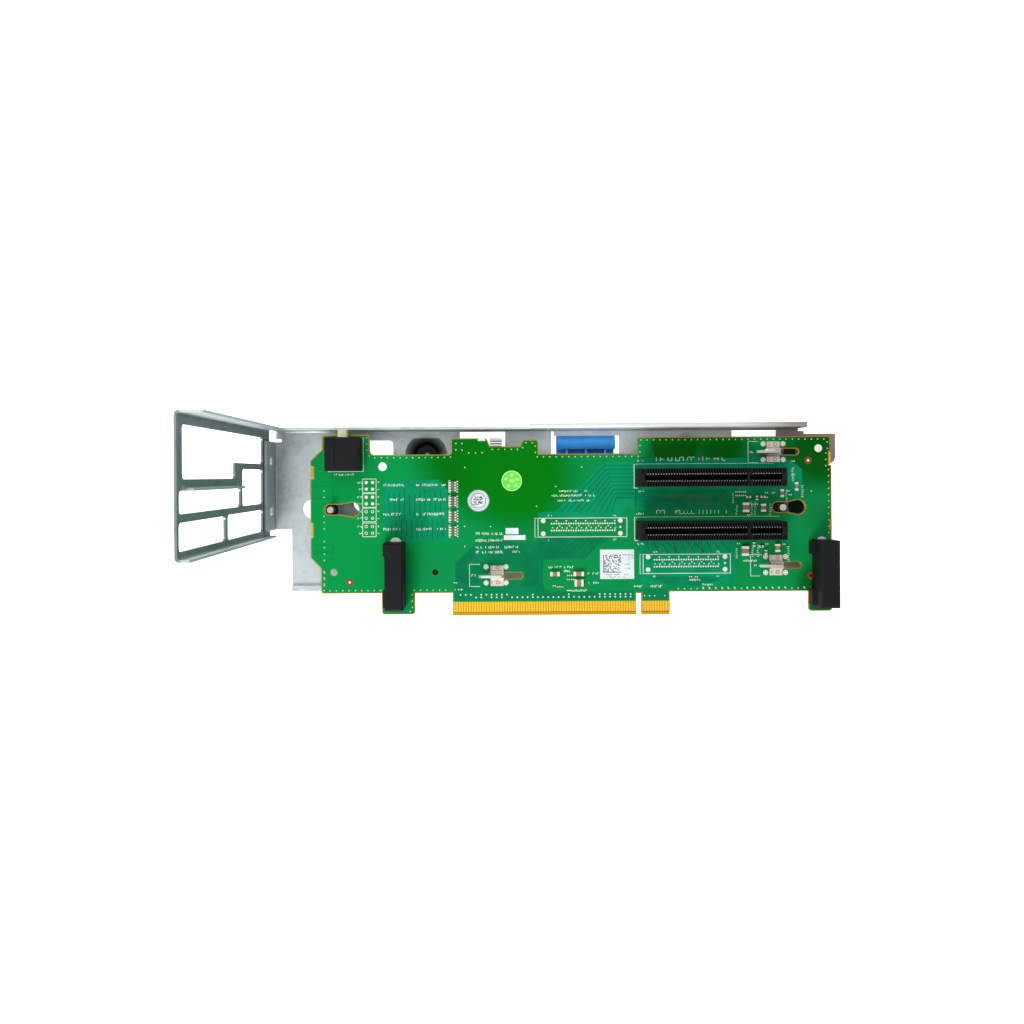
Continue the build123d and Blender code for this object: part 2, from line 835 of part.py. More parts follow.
with BuildPart() as small_chip_capacitors:
    with BuildSketch(face_at(board_face)):
        for x, y, length, width in small_capacitors:
            span(x - length / 2, y - width / 2, x + length / 2, y + width / 2)
    extrude(amount=chip_height[1])
small_chip_capacitors.part.label = "small_chip_capacitors"
export_step(small_chip_capacitors.part, "parts/small_chip_capacitors.step")

with BuildPart() as chip_resistor_packs:
    with BuildSketch(face_at(board_face)):
        for x, y in resistor_packs:
            with Locations((x, y)):
                Rectangle(*resistor_pack)
    extrude(amount=chip_height[2])
chip_resistor_packs.part.label = "chip_resistor_packs"
export_step(chip_resistor_packs.part, "parts/chip_resistor_packs.step")

# Labels
for label_name, (x, y, r) in (("green_label", green_label), ("white_label", white_label)):
    with BuildPart() as round_label:
        with BuildSketch(face_at(board_face)):
            with Locations((x, y)):
                Circle(r)
        extrude(amount=label_sheet)
    round_label.part.label = label_name
    export_step(round_label.part, "parts/" + label_name + ".step")

with BuildPart() as code_label_part:
    with BuildSketch(face_at(board_face)):
        x, y, length, width = code_label
        span(x - length / 2, y - width / 2, x + length / 2, y + width / 2)
    extrude(amount=label_sheet)
code_label_part.part.label = "code_label"
export_step(code_label_part.part, "parts/code_label.step")

with BuildPart() as label_strips:
    with BuildSketch(face_at(board_face)):
        for x, y, length, width in strip_labels:
            span(x - length / 2, y - width / 2, x + length / 2, y + width / 2)
    extrude(amount=label_sheet)
label_strips.part.label = "label_strips"
export_step(label_strips.part, "parts/label_strips.step")
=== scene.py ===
import json
import math
import random

import bmesh
import bpy
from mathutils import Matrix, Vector


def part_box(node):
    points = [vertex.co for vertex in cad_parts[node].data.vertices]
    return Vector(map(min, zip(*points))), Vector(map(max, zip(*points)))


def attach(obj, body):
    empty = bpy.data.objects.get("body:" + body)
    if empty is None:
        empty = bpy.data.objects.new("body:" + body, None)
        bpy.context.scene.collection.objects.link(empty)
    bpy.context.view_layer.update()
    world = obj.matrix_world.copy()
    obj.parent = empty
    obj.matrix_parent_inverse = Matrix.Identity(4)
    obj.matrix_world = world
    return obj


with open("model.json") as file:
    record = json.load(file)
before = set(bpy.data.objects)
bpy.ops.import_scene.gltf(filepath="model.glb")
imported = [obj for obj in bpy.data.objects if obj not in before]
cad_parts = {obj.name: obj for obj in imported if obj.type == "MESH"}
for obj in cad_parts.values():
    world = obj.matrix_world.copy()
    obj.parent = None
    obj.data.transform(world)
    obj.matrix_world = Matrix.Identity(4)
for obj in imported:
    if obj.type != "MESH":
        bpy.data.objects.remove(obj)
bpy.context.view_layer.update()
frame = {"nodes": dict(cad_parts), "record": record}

MM = 0.001
random.seed(7)

# Sizes in millimetres, on the same datum corner as the part: where the top flange meets the side wall
WALL = 1.0
PANEL = 0.8
HEM = 2.15
BOARD_H = 10.23
BOARD = 1.57
BOARD_FACE = BOARD_H + BOARD
PLATE_FRONT = 5.0
DATUM_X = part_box("rear_panel")[0][0] / MM + WALL + PANEL
DATUM_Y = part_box("main_bracket")[1][1] / MM - HEM

# Camera: the photograph's frame is 1024 pixels wide and high
FRAME_PX = 1024
FOCAL_PX = 1000
CAMERA_HEIGHT = 400
VANISH_PX = (485.0, 475.6)
VANISH_AT = (83.84, -18.1)
ROLL = math.radians(-0.35)
SENSOR = 36.0


def at(x, y, h):
    """A point in metres from x, y and a height above the bracket's front face, in millimetres."""
    return Vector(((DATUM_X + x) * MM, (DATUM_Y + y) * MM, (PLATE_FRONT + h) * MM))


# Materials
def shader(name, color, roughness, metallic=0.0, specular=0.5):
    """A new material with its main shader's plain values set."""
    material = bpy.data.materials.new(name)
    material.use_nodes = True
    main = material.node_tree.nodes["Principled BSDF"]
    main.inputs["Base Color"].default_value = (*color, 1)
    main.inputs["Roughness"].default_value = roughness
    main.inputs["Metallic"].default_value = metallic
    main.inputs["Specular IOR Level"].default_value = specular
    return material


def add(material, kind, **settings):
    """A new node in the material, with its named inputs or properties set."""
    node = material.node_tree.nodes.new(kind)
    for key, value in settings.items():
        if key in node.inputs:
            node.inputs[key].default_value = value
        else:
            setattr(node, key, value)
    return node


def join(material, source, target):
    """Links one socket to another."""
    material.node_tree.links.new(source, target)


def main_shader(material):
    """The shader that every material starts with."""
    return material.node_tree.nodes["Principled BSDF"]


def paint(material, color):
    """Takes the material's colour from a socket."""
    join(material, color, main_shader(material).inputs["Base Color"])


def grain(material, scale, detail=4.0, roughness=0.5, stretch=(1, 1, 1)):
    """A noise pattern with its scale in cycles per millimetre, and its strength from 0 to 1."""
    place = add(material, "ShaderNodeTexCoord")
    sized = add(material, "ShaderNodeMapping")
    sized.inputs["Scale"].default_value = [1000 * scale * s for s in stretch]
    join(material, place.outputs["Object"], sized.inputs["Vector"])
    noise = add(material, "ShaderNodeTexNoise", Scale=1.0, Detail=detail, Roughness=roughness)
    join(material, sized.outputs["Vector"], noise.inputs["Vector"])
    return noise.outputs["Fac"]


def stops(material, factor, colors):
    """A colour ramp through (position, colour) pairs."""
    ramp = add(material, "ShaderNodeValToRGB")
    join(material, factor, ramp.inputs["Fac"])
    elements = ramp.color_ramp.elements
    while len(elements) < len(colors):
        elements.new(0.5)
    for element, (position, color) in zip(elements, colors):
        element.position = position
        element.color = (*color, 1)
    return ramp.outputs["Color"]


def bump(material, height, strength, distance):
    """Raises the surface by the pattern, with the distance in millimetres."""
    node = add(material, "ShaderNodeBump", Strength=strength, Distance=distance * MM)
    join(material, height, node.inputs["Height"])
    join(material, node.outputs["Normal"], main_shader(material).inputs["Normal"])


def near(material, x, y, inner, outer):
    """0 within the inner radius of a point on the datum and 1 beyond the outer one, in millimetres."""
    place = add(material, "ShaderNodeTexCoord")
    flat = add(material, "ShaderNodeVectorMath", operation="MULTIPLY")
    flat.inputs[1].default_value = (1, 1, 0)
    join(material, place.outputs["Object"], flat.inputs[0])
    away = add(material, "ShaderNodeVectorMath", operation="DISTANCE")
    away.inputs[1].default_value = (at(x, y, 0).x, at(x, y, 0).y, 0)
    join(material, flat.outputs["Vector"], away.inputs[0])
    ramp = add(material, "ShaderNodeMapRange", interpolation_type="SMOOTHSTEP")
    ramp.inputs["From Min"].default_value = inner * MM
    ramp.inputs["From Max"].default_value = outer * MM
    join(material, away.outputs["Value"], ramp.inputs["Value"])
    return ramp.outputs["Result"]


def across(material, axis, start, end):
    """0 before the first place along an axis of the datum and 1 beyond the second, in millimetres."""
    place = add(material, "ShaderNodeTexCoord")
    split = add(material, "ShaderNodeSeparateXYZ")
    join(material, place.outputs["Object"], split.inputs["Vector"])
    ramp = add(material, "ShaderNodeMapRange", interpolation_type="SMOOTHSTEP")
    side = "XYZ".index(axis)
    ramp.inputs["From Min"].default_value = at(start, start, start)[side]
    ramp.inputs["From Max"].default_value = at(end, end, end)[side]
    join(material, split.outputs[axis], ramp.inputs["Value"])
    return ramp.outputs["Result"]


def blended(material, factor, first, second):
    """The first colour where the factor is 0, the second where it is 1; sockets or plain colours."""
    node = add(material, "ShaderNodeMix", data_type="RGBA")
    join(material, factor, node.inputs["Factor"])
    for name, value in (("A", first), ("B", second)):
        socket = [s for s in node.inputs if s.name == name and s.type == "RGBA"][0]
        if isinstance(value, tuple):
            socket.default_value = (*value, 1)
        else:
            join(material, value, socket)
    return [s for s in node.outputs if s.type == "RGBA"][0]


def bracket_color(material, patches, color, dark, light):
    """Painted light makes the bracket lighter to the right and on its hem; painted shade makes it darker on
    its wall and black in its cones.
    """
    # Painted light: the tones lighter towards the right
    lit_dark = [c * LIT_GAIN for c in dark]
    lit_light = [min(1, c * LIT_GAIN) for c in light]
    lit_end = stops(material, patches, ((0.35, lit_dark), (0.6, lit_light)))
    color = blended(material, across(material, "X", *LIT_X), color, lit_end)
    # Painted light on the hem, and on the flange's front face and nose
    painted_lit_hem = blended(material, across(material, "X", *HEM_LIT_X), color, HEM_PAINTED_LIGHT)
    flange = blended(material, across(material, "Y", *FLANGE_BACK_Y), painted_lit_hem, color)
    flange = blended(material, across(material, "Z", *FLANGE_NOSE_H), flange, painted_lit_hem)
    color = blended(material, across(material, "Z", *FLANGE_FOOT_H), color, flange)
    # Painted shade on the side wall
    color = blended(material, across(material, "X", *WALL_X), WALL_PAINTED_SHADE, color)
    color = blended(material, across(material, "X", *WARM_X), color, END_WARM)
    # Painted shade: black inside the cones
    for x, y in CONES:
        color = blended(material, near(material, x, y, CONE_DARK_R, CONE_MOUTH_R), CONE_PAINTED_SHADE, color)
    return color


def panel_color(material, color):
    """Painted shadow darkens the foot of the panel's inner face, and painted light makes its lips lighter.
    """
    # Painted shadow along the foot of the inner face, in the gap beyond the wall's edge
    gap_shadow = blended(material, across(material, "Z", *SEAM_H), SEAM_PAINTED_SHADOW, color)
    gap_shadow = blended(material, across(material, "Y", *SEAM_Y), gap_shadow, color)
    color = blended(material, across(material, "X", *SEAM_X), color, gap_shadow)
    # Painted light on the lips
    return blended(material, across(material, "X", *LIP_X), color, LIP_PAINTED_LIGHT)


def galvanised(name, dark, light, spangle):
    """Zinc coated sheet: mottled grey with a fine rolling grain, then painted light and shade on the bracket
    and the panel.
    """
    material = shader(name, light, 0.42, metallic=0.75)
    patches = grain(material, spangle, detail=5.0, roughness=0.65)
    lightest = tuple(c * 1.06 for c in light)
    color = stops(material, patches, ((0.35, dark), (0.5, light), (0.68, lightest)))
    if name == "galvanised_steel":
        paint(material, bracket_color(material, patches, color, dark, light))
    else:
        paint(material, panel_color(material, color))
    fine = grain(material, 1.1, detail=3.0, stretch=(0.25, 1, 1))
    rough = add(material, "ShaderNodeMapRange")
    rough.inputs["To Min"].default_value = 0.34
    rough.inputs["To Max"].default_value = 0.52
    join(material, fine, rough.inputs["Value"])
    join(material, rough.outputs["Result"], main_shader(material).inputs["Roughness"])
    bump(material, fine, 0.12, 0.02)
    return material


def plastic(name, color, roughness, grain_scale=3.0, strength=0.15, variation=0.12, specular=0.4):
    """Moulded plastic with a fine eroded texture."""
    material = shader(name, color, roughness, specular=specular)
    pattern = grain(material, grain_scale, detail=2.0)
    tone = grain(material, 0.15, detail=3.0)
    low = [c * (1 - variation) for c in color]
    high = [min(1, c * (1 + variation)) for c in color]
    paint(material, stops(material, tone, ((0.3, low), (0.7, high))))
    bump(material, pattern, strength, 0.02)
    return material


def metal(name, color, roughness, grain_scale=2.0, strength=0.1, metallic=1.0):
    """Bright metal with slight waviness."""
    material = shader(name, color, roughness, metallic=metallic)
    pattern = grain(material, grain_scale, detail=3.0)
    low = [c * 0.85 for c in color]
    paint(material, stops(material, pattern, ((0.3, low), (0.7, color))))
    bump(material, pattern, strength, 0.02)
    return material


def board_material():
    """Green solder mask on the faces, lighter towards the left by painted light, brown laminate with gold
    plating on the edges.
    """
    material = shader("solder_mask", MASK_LEFT_PAINTED_LIGHT, 0.38, specular=0.04)
    # Painted light: the mask lighter towards the left
    mask = blended(material, near(material, *MASK_LEFT_REACH), MASK_LEFT_PAINTED_LIGHT, MASK_MIDDLE)
    for x, y, inner, outer, color in MASK_ZONES:
        mask = blended(material, near(material, x, y, inner, outer), color, mask)
    # Bare laminate between and below the gold contacts
    bare = blended(material, across(material, "Y", *CONTACT_TOP_Y), CONTACT_BASE, mask)
    bare = blended(material, across(material, "X", *CONTACT_LEFT_X), mask, bare)
    mask = blended(material, across(material, "X", *CONTACT_RIGHT_X), bare, mask)
    shape = add(material, "ShaderNodeNewGeometry")
    split = add(material, "ShaderNodeSeparateXYZ")
    join(material, shape.outputs["Normal"], split.inputs["Vector"])
    facing = add(material, "ShaderNodeMath", operation="ABSOLUTE")
    join(material, split.outputs["Z"], facing.inputs[0])
    edge = add(material, "ShaderNodeMath", operation="LESS_THAN")
    edge.inputs[1].default_value = 0.5
    join(material, facing.outputs["Value"], edge.inputs[0])
    streaks = grain(material, 0.8, detail=3.0)
    laminate = stops(material, streaks, ((0.3, LAMINATE_DARK), (0.7, LAMINATE_LIGHT)))
    paint(material, blended(material, edge.outputs["Value"], mask, laminate))
    weave = grain(material, 1.6, detail=2.0)
    bump(material, weave, 0.06, 0.01)
    return material


# Places and colours that the looks share; pairs of places say where a shade begins and ends, in millimetres
# Painted shade inside the cones
CONES = ((60.4, -9.7), (164.6, -9.7))
CONE_DARK_R = 4.5
CONE_MOUTH_R = 9.0
CONE_PAINTED_SHADE = (0.012, 0.016, 0.015)
# Painted light on the bracket: to the right, on its hem and on its flange's front face and nose
LIT_X = (60, 150)
LIT_GAIN = 1.5
HEM_LIT_X = (60, 130)
HEM_PAINTED_LIGHT = (0.86, 0.88, 0.88)
FLANGE_BACK_Y = (0.3, 0.8)
FLANGE_NOSE_H = (10.9, 11.4)
FLANGE_FOOT_H = (0.6, 2.4)
# Painted shade on the bracket's side wall
WALL_X = (-0.4, 0.6)
WALL_PAINTED_SHADE = (0.4, 0.5, 0.53)
WARM_X = (178, 212)
END_WARM = (0.34, 0.28, 0.25)
# Painted shadow along the foot of the panel's inner face
SEAM_H = (17.6, 18.4)
SEAM_Y = (-3.8, -3.2)
SEAM_X = (-1.2, -1.05)
SEAM_PAINTED_SHADOW = (0.02, 0.025, 0.03)
# Painted light on the panel's lips
LIP_X = (-0.9, 0.4)
LIP_PAINTED_LIGHT = (0.55, 0.62, 0.64)
LAMINATE_DARK = (0.3, 0.16, 0.02)
LAMINATE_LIGHT = (0.6, 0.42, 0.14)
CONTACT_BASE = (0.42, 0.21, 0.005)
CONTACT_TOP_Y = (-67.15, -67.05)
CONTACT_LEFT_X = (62, 63)
CONTACT_RIGHT_X = (170, 171)
# Painted light: the mask on the left, lighter than in the middle
MASK_LEFT_PAINTED_LIGHT = (0.001, 0.245, 0.05)
# centre x, y, radius within which the painted light is full, radius where it ends
MASK_LEFT_REACH = (20, -35, 22, 75)
MASK_MIDDLE = (0.002, 0.21, 0.055)
MASK_ZONES = (
    # centre x, y, radius within which it is full, radius where it ends, colour
    (80.0, -10.0, 12, 30, (0.0, 0.125, 0.003)),
    (97.0, -18.0, 12, 30, (0.0, 0.15, 0.003)),
    (158.0, -5.0, 5, 14, (0.0, 0.08, 0.002)),
    (176.0, -6.0, 5, 14, (0.0, 0.1, 0.004)),
    (214.0, -10.0, 6, 22, (0.0, 0.07, 0.003)),
    (216.0, -62.0, 8, 14, (0.001, 0.1, 0.01)),
    (214.0, -34.0, 2, 12, (0.003, 0.16, 0.04)),
)

LOOKS = {
    "galvanised_steel": galvanised("galvanised_steel", (0.46, 0.52, 0.54), (0.54, 0.6, 0.615), 0.3),
    "panel_steel": galvanised("panel_steel", (0.17, 0.215, 0.23), (0.22, 0.27, 0.29), 0.12),
    "fastener_steel": metal("fastener_steel", (0.86, 0.86, 0.84), 0.25),
    "board_green": board_material(),
    "gold": metal("gold", (0.98, 0.56, 0.03), 0.4, metallic=0.4),
    "black_plastic": plastic("black_plastic", (0.008, 0.0078, 0.0095), 0.55, specular=0.12),
    "cream_plastic": plastic("cream_plastic", (0.92, 0.86, 0.55), 0.5),
    "spring_steel": metal("spring_steel", (0.7, 0.7, 0.7), 0.3),
    "tinned_steel": metal("tinned_steel", (0.84, 0.76, 0.64), 0.3, strength=0.35, metallic=0.55),
    "blue_plastic": plastic("blue_plastic", (0.04, 0.34, 0.95), 0.36),
    "ceramic_tan": plastic("ceramic_tan", (0.27, 0.16, 0.1), 0.45),
    "resistor_dark": plastic("resistor_dark", (0.1, 0.1, 0.07), 0.4),
    "label_green": plastic("label_green", (0.1, 0.6, 0.03), 0.6),
    "label_white": plastic("label_white", (0.6, 0.66, 0.66), 0.6),
}
slot_of = {row["node"]: row["material_slot"] for row in frame["record"]["subparts"]}
SLOT_CONTACT = metal("slot_contact", (0.85, 0.83, 0.78), 0.4, metallic=0.5)
for node, thing in frame["nodes"].items():
    look = SLOT_CONTACT if node.endswith("slot_contacts") else LOOKS[slot_of[node]]
    thing.data.materials.clear()
    thing.data.materials.append(look)

PRINT_WHITE = plastic("print_white", (0.72, 0.78, 0.74), 0.6)
TRACE_ZONE = plastic("trace_zone", (0.001, 0.225, 0.09), 0.42, specular=0.05)
LOWER_ZONE = plastic("lower_zone", (0.001, 0.165, 0.055), 0.42, specular=0.05)
TRACE_DARK = plastic("trace_dark", (0.001, 0.13, 0.055), 0.42, specular=0.05)
# Painted glints on the traces
TRACE_PAINTED_GLINT = plastic("trace_painted_glint", (0.06, 0.19, 0.06), 0.42, specular=0.05)
# Painted shade on the board
PAINTED_SHADE_ZONE = plastic("dark_zone", (0.0, 0.095, 0.002), 0.42, specular=0.05)
RIM_GOLD = metal("rim_gold", (0.5, 0.3, 0.03), 0.42)
EDGE_YELLOW = plastic("edge_yellow", (0.55, 0.33, 0.015), 0.4)
# Painted shade at the clips' folds
CLIP_FOLD_SHADE = plastic("clip_fold_shade", (0.2, 0.13, 0.08), 0.5)
SOLDER = metal("solder", (0.93, 0.9, 0.82), 0.3, strength=0.3, metallic=0.45)
COPPER_RED = plastic("copper_red", (0.22, 0.03, 0.008), 0.45)
VIA_CREAM = plastic("via_cream", (0.55, 0.6, 0.42), 0.5)
PLATE_SHADE = plastic("plate_shade", (0.012, 0.035, 0.03), 0.5, specular=0.1)
# Near black: painted shade in holes, pockets and on the studs' shoulders, and the latch's stripes
PIT_BLACK = plastic("pit_black", (0.003, 0.003, 0.004), 0.7, specular=0.1)
INK_GREEN = plastic("ink_green", (0.5, 0.85, 0.42), 0.6)
INK_GREY = plastic("ink_grey", (0.1, 0.15, 0.19), 0.6)


# Thin work on the board: pads, vias, printed lines. It starts a little below the surface that it lies on
SUNK = 0.01


class Layer:
    """Flat shapes gathered into one closed, thin piece that lies on the board."""

    def __init__(self, name, look, slot, thickness=0.03, base=BOARD_FACE):
        self.name = name
        self.look = look
        self.slot = slot
        self.low = base - SUNK
        self.high = base + thickness
        self.mesh = bmesh.new()

    def outline(self, points):
        """A flat shape from its corners, in order."""
        lower = [self.mesh.verts.new(at(x, y, self.low)) for x, y in points]
        upper = [self.mesh.verts.new(at(x, y, self.high)) for x, y in points]
        self.mesh.faces.new(upper)
        self.mesh.faces.new(lower[::-1])
        for i in range(len(points)):
            j = (i + 1) % len(points)
            self.mesh.faces.new((lower[i], lower[j], upper[j], upper[i]))

    def band(self, outer, inner):
        """A closed strip between two loops that have as many points."""
        rows = []
        for loop, h in ((outer, self.low), (outer, self.high), (inner, self.high), (inner, self.low)):
            rows.append([self.mesh.verts.new(at(x, y, h)) for x, y in loop])
        for k in range(4):
            a, b = rows[k], rows[(k + 1) % 4]
            for i in range(len(outer)):
                j = (i + 1) % len(outer)
                self.mesh.faces.new((a[i], a[j], b[j], b[i]))

    def ring(self, x, y, r, hole, steps=20):
        """A round pad with a hole."""
        turns = [2 * math.pi * i / steps for i in range(steps)]
        self.band(
            [(x + r * math.cos(a), y + r * math.sin(a)) for a in turns],
            [(x + hole * math.cos(a), y + hole * math.sin(a)) for a in turns],
        )

    def disc(self, x, y, r, steps=12):
        """A round pad."""
        self.outline(
            [
                (x + r * math.cos(2 * math.pi * i / steps), y + r * math.sin(2 * math.pi * i / steps))
                for i in range(steps)
            ]
        )

    def block(self, x, y, length, width):
        """A rectangle about its centre."""
        self.outline(
            [
                (x - length / 2, y - width / 2),
                (x + length / 2, y - width / 2),
                (x + length / 2, y + width / 2),
                (x - length / 2, y + width / 2),
            ]
        )

    def line(self, start, end, width):
        """A straight stroke."""
        a, b = Vector(start), Vector(end)
        side = (b - a).orthogonal().normalized() * width / 2
        self.outline([tuple(a + side), tuple(a - side), tuple(b - side), tuple(b + side)])

    def path(self, points, width):
        """A line through several points."""
        for start, end in zip(points, points[1:]):
            self.line(start, end, width)

    def box_lines(self, left, bottom, right, top, width):
        """The four sides of a printed rectangle."""
        self.block((left + right) / 2, bottom, right - left + width, width)
        self.block((left + right) / 2, top, right - left + width, width)
        self.block(left, (bottom + top) / 2, width, top - bottom - width)
        self.block(right, (bottom + top) / 2, width, top - bottom - width)

    def ticks(self, left, right, y, height, pitch=0.62):
        """A row of small printed marks."""
        x = left
        while x < right:
            if random.random() > 0.2:
                tall = height * random.uniform(0.5, 1)
                self.block(x, y, 0.2, tall)
                if random.random() > 0.4:
                    self.block(x + pitch / 2, y + random.choice((-0.4, 0, 0.4)) * height, pitch * 0.7, 0.18)
            x += pitch

    def finish(self, body="riser"):
        """Makes the piece and the body that carries it."""
        bmesh.ops.recalc_face_normals(self.mesh, faces=self.mesh.faces)
        data = bpy.data.meshes.new(self.name)
        self.mesh.to_mesh(data)
        self.mesh.free()
        data.materials.append(self.look)
        piece = bpy.data.objects.new(self.name, data)
        bpy.context.scene.collection.objects.link(piece)
        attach(piece, body)


# Outlines taken from the board itself
def top_loops(node, height):
    """The closed edges of a node's flat top as points on the datum, with the material on their left."""
    mesh = bmesh.new()
    mesh.from_mesh(frame["nodes"][node].data)
    bmesh.ops.remove_doubles(mesh, verts=mesh.verts, dist=1e-7)
    level = (PLATE_FRONT + height) * MM
    flat = [
        face
        for face in mesh.faces
        if face.normal.z > 0.99 and abs(face.calc_center_median().z - level) < 2e-5
    ]
    inside = set(flat)
    follow = {}
    for face in flat:
        for corner in face.loops:
            if sum(f in inside for f in corner.edge.link_faces) == 1:
                follow[corner.vert] = corner.link_loop_next.vert
    loops = []
    while follow:
        first = min(follow, key=lambda v: (round(v.co.x, 6), round(v.co.y, 6)))
        here = follow.pop(first)
        chain = [first]
        while here in follow:
            chain.append(here)
            here = follow.pop(here)
        loops.append([Vector((v.co.x / MM - DATUM_X, v.co.y / MM - DATUM_Y)) for v in chain])
    mesh.free()
    return loops


def inset(points, distance):
    """The loop moved sideways into the material."""
    moved = []
    for i, here in enumerate(points):
        back = (here - points[i - 1]).normalized()
        on = (points[(i + 1) % len(points)] - here).normalized()
        left = Vector((-back.y - on.y, back.x + on.x))
        moved.append(here + left * (2 * distance / max(left.length_squared, 0.5)))
    return moved


def reach(points):
    """How long and how high a loop is."""
    xs = [p[0] for p in points]
    ys = [p[1] for p in points]
    return max(xs) - min(xs), max(ys) - min(ys)


def islands(node):
    """The boxes of a node's separate solids on the datum: left, bottom, right, top and the highest h."""
    mesh = bmesh.new()
    mesh.from_mesh(frame["nodes"][node].data)
    bmesh.ops.remove_doubles(mesh, verts=mesh.verts, dist=1e-7)
    left = set(mesh.verts)
    found = []
    while left:
        group = [left.pop()]
        for vert in group:
            for edge in vert.link_edges:
                other = edge.other_vert(vert)
                if other in left:
                    left.discard(other)
                    group.append(other)
        xs = [v.co.x / MM - DATUM_X for v in group]
        ys = [v.co.y / MM - DATUM_Y for v in group]
        top = max(v.co.z for v in group) / MM - PLATE_FRONT
        found.append((min(xs), min(ys), max(xs), max(ys), top))
    mesh.free()
    return sorted(found)


# Plating goes around loops longer than RIM_LOOP, and vias only along a loop longer than BOARD_LOOP
RIM = 0.34
RIM_HIGH = 0.04
RIM_LOOP = 4.5
BOARD_LOOP = 100
VIA_HIGH = 0.05
VIA_R = 0.25
VIA_INSET = 1.15
VIA_PITCH = 2.45
LEFT_VIAS = (21.3, -23.7)
LEFT_VIAS_COUNT = 16
LEFT_VIAS_GAPS = (2, 3, 7, 12)
SILK = 0.2
SILK_THIN = 0.16
TRACE = 0.32
EDGE_GOLD = (
    # left, bottom, right, top of the plated blocks in the notches of the edge
    (16.1, -18.6, 17.2, -14.6),
    (16.1, -41.2, 16.9, -36.8),
    (217.3, -14.6, 218.0, -9.7),
    (217.6, -40.0, 218.3, -36.2),
)
COVERED = (
    # left, bottom, right, top of what hides the vias along the edge
    (22.5, -17.0, 37.0, -2.0),
    (44.0, -72.0, 53.5, -43.0),
    (209.0, -72.0, 219.0, -43.0),
    (69.5, -73.0, 156.5, -62.0),
    (15.0, -64.0, 20.6, -12.0),
    (15.0, -14.0, 23.0, -6.0),
    (71.0, -9.4, 86.4, -3.0),
)


def build_rims():
    """Gold plating around the board's edge, its keyholes and the hooks' slots, and vias along the edge."""
    rims = Layer("gold_rims", RIM_GOLD, "gold", RIM_HIGH)
    vias = Layer("edge_vias", VIA_CREAM, "tinned_steel", VIA_HIGH)
    for loop in top_loops("circuit_board", BOARD_FACE):
        if max(reach(loop)) < RIM_LOOP:
            continue
        rims.band([tuple(p) for p in loop], [tuple(p) for p in inset(loop, RIM)])
        if max(reach(loop)) < BOARD_LOOP:
            continue
        walk = inset(loop, VIA_INSET)
        left_over = 0.0
        for start, end in zip(walk, walk[1:] + walk[:1]):
            length = (end - start).length
            spot = left_over
            while spot < length:
                x, y = start.lerp(end, spot / length)
                if not any(a < x < c and b < y < d for a, b, c, d in COVERED):
                    vias.disc(x, y, VIA_R, 8)
                spot += VIA_PITCH
            left_over = spot - length
    for i in range(LEFT_VIAS_COUNT):
        if i not in LEFT_VIAS_GAPS:
            vias.disc(LEFT_VIAS[0], LEFT_VIAS[1] - i * VIA_PITCH, VIA_R, 8)
    plating = Layer("edge_plating", EDGE_YELLOW, "gold", BOARD + RIM_HIGH, BOARD_H)
    for left, bottom, right, top in EDGE_GOLD:
        plating.block((left + right) / 2, (bottom + top) / 2, right - left, top - bottom)
    plating.finish()
    rims.finish()
    vias.finish()


ZONE_HIGH = 0.015
SHADE_HIGH = 0.012
LINE_HIGH = 0.025
GLINT_HIGH = 0.035
ZONE_OUTLINES = (
    # right of the pad boxes
    (
        (43.6, -20.1), (43.4, -39.4), (48.0, -39.4), (53.7, -43.3), (69.2, -43.4), (69.3, -23.5),
        (65.4, -19.5),
    ),
    # above the left footprint
    (
        (142.4, -13.0), (142.4, -31.2), (138.6, -31.2), (136.2, -34.8), (104.3, -34.7), (104.3, -32.7),
        (111.3, -32.0), (130.0, -13.5),
    ),
    # around the upper card slot
    (
        (142.2, -31.2), (142.2, -12.8), (144.0, -12.0), (196.0, -11.8), (202.5, -13.0), (206.9, -16.3),
        (206.8, -25.2), (200.0, -27.5), (181.0, -25.0), (174.5, -31.2),
    ),
    # around the right footprint
    ((143.9, -43.3), (143.9, -61.3), (177.9, -61.5), (181.4, -57.7), (180.7, -43.6)),
)
LOWER_OUTLINES = (
    # above and below the middle of the lower left hook's slot, which stays open
    (
        (133.0, -42.2), (128.3, -45.3), (122.1, -50.5), (106.2, -51.0), (106.1, -57.0), (98.5, -57.0),
        (98.2, -55.9), (97.5, -55.6), (85.9, -55.6), (85.2, -55.9), (84.9, -57.0), (72.0, -57.0),
        (72.0, -52.0), (80.2, -44.2), (84.0, -43.3), (103.5, -43.6), (107.0, -42.1),
    ),
    (
        (72.0, -57.0), (84.9, -57.0), (85.2, -58.1), (85.9, -58.4), (97.5, -58.4), (98.2, -58.1),
        (98.5, -57.0), (106.1, -57.0), (106.0, -61.0), (108.2, -63.4), (141.4, -63.4), (141.4, -66.6),
        (72.0, -66.6),
    ),
    # right of the key notch
    ((145.0, -62.6), (154.4, -62.6), (154.4, -66.6), (145.0, -66.6)),
)
SHADE_OUTLINE = ((148.4, -4.6), (150.0, -12.4), (164.2, -12.5), (168.0, -4.6))


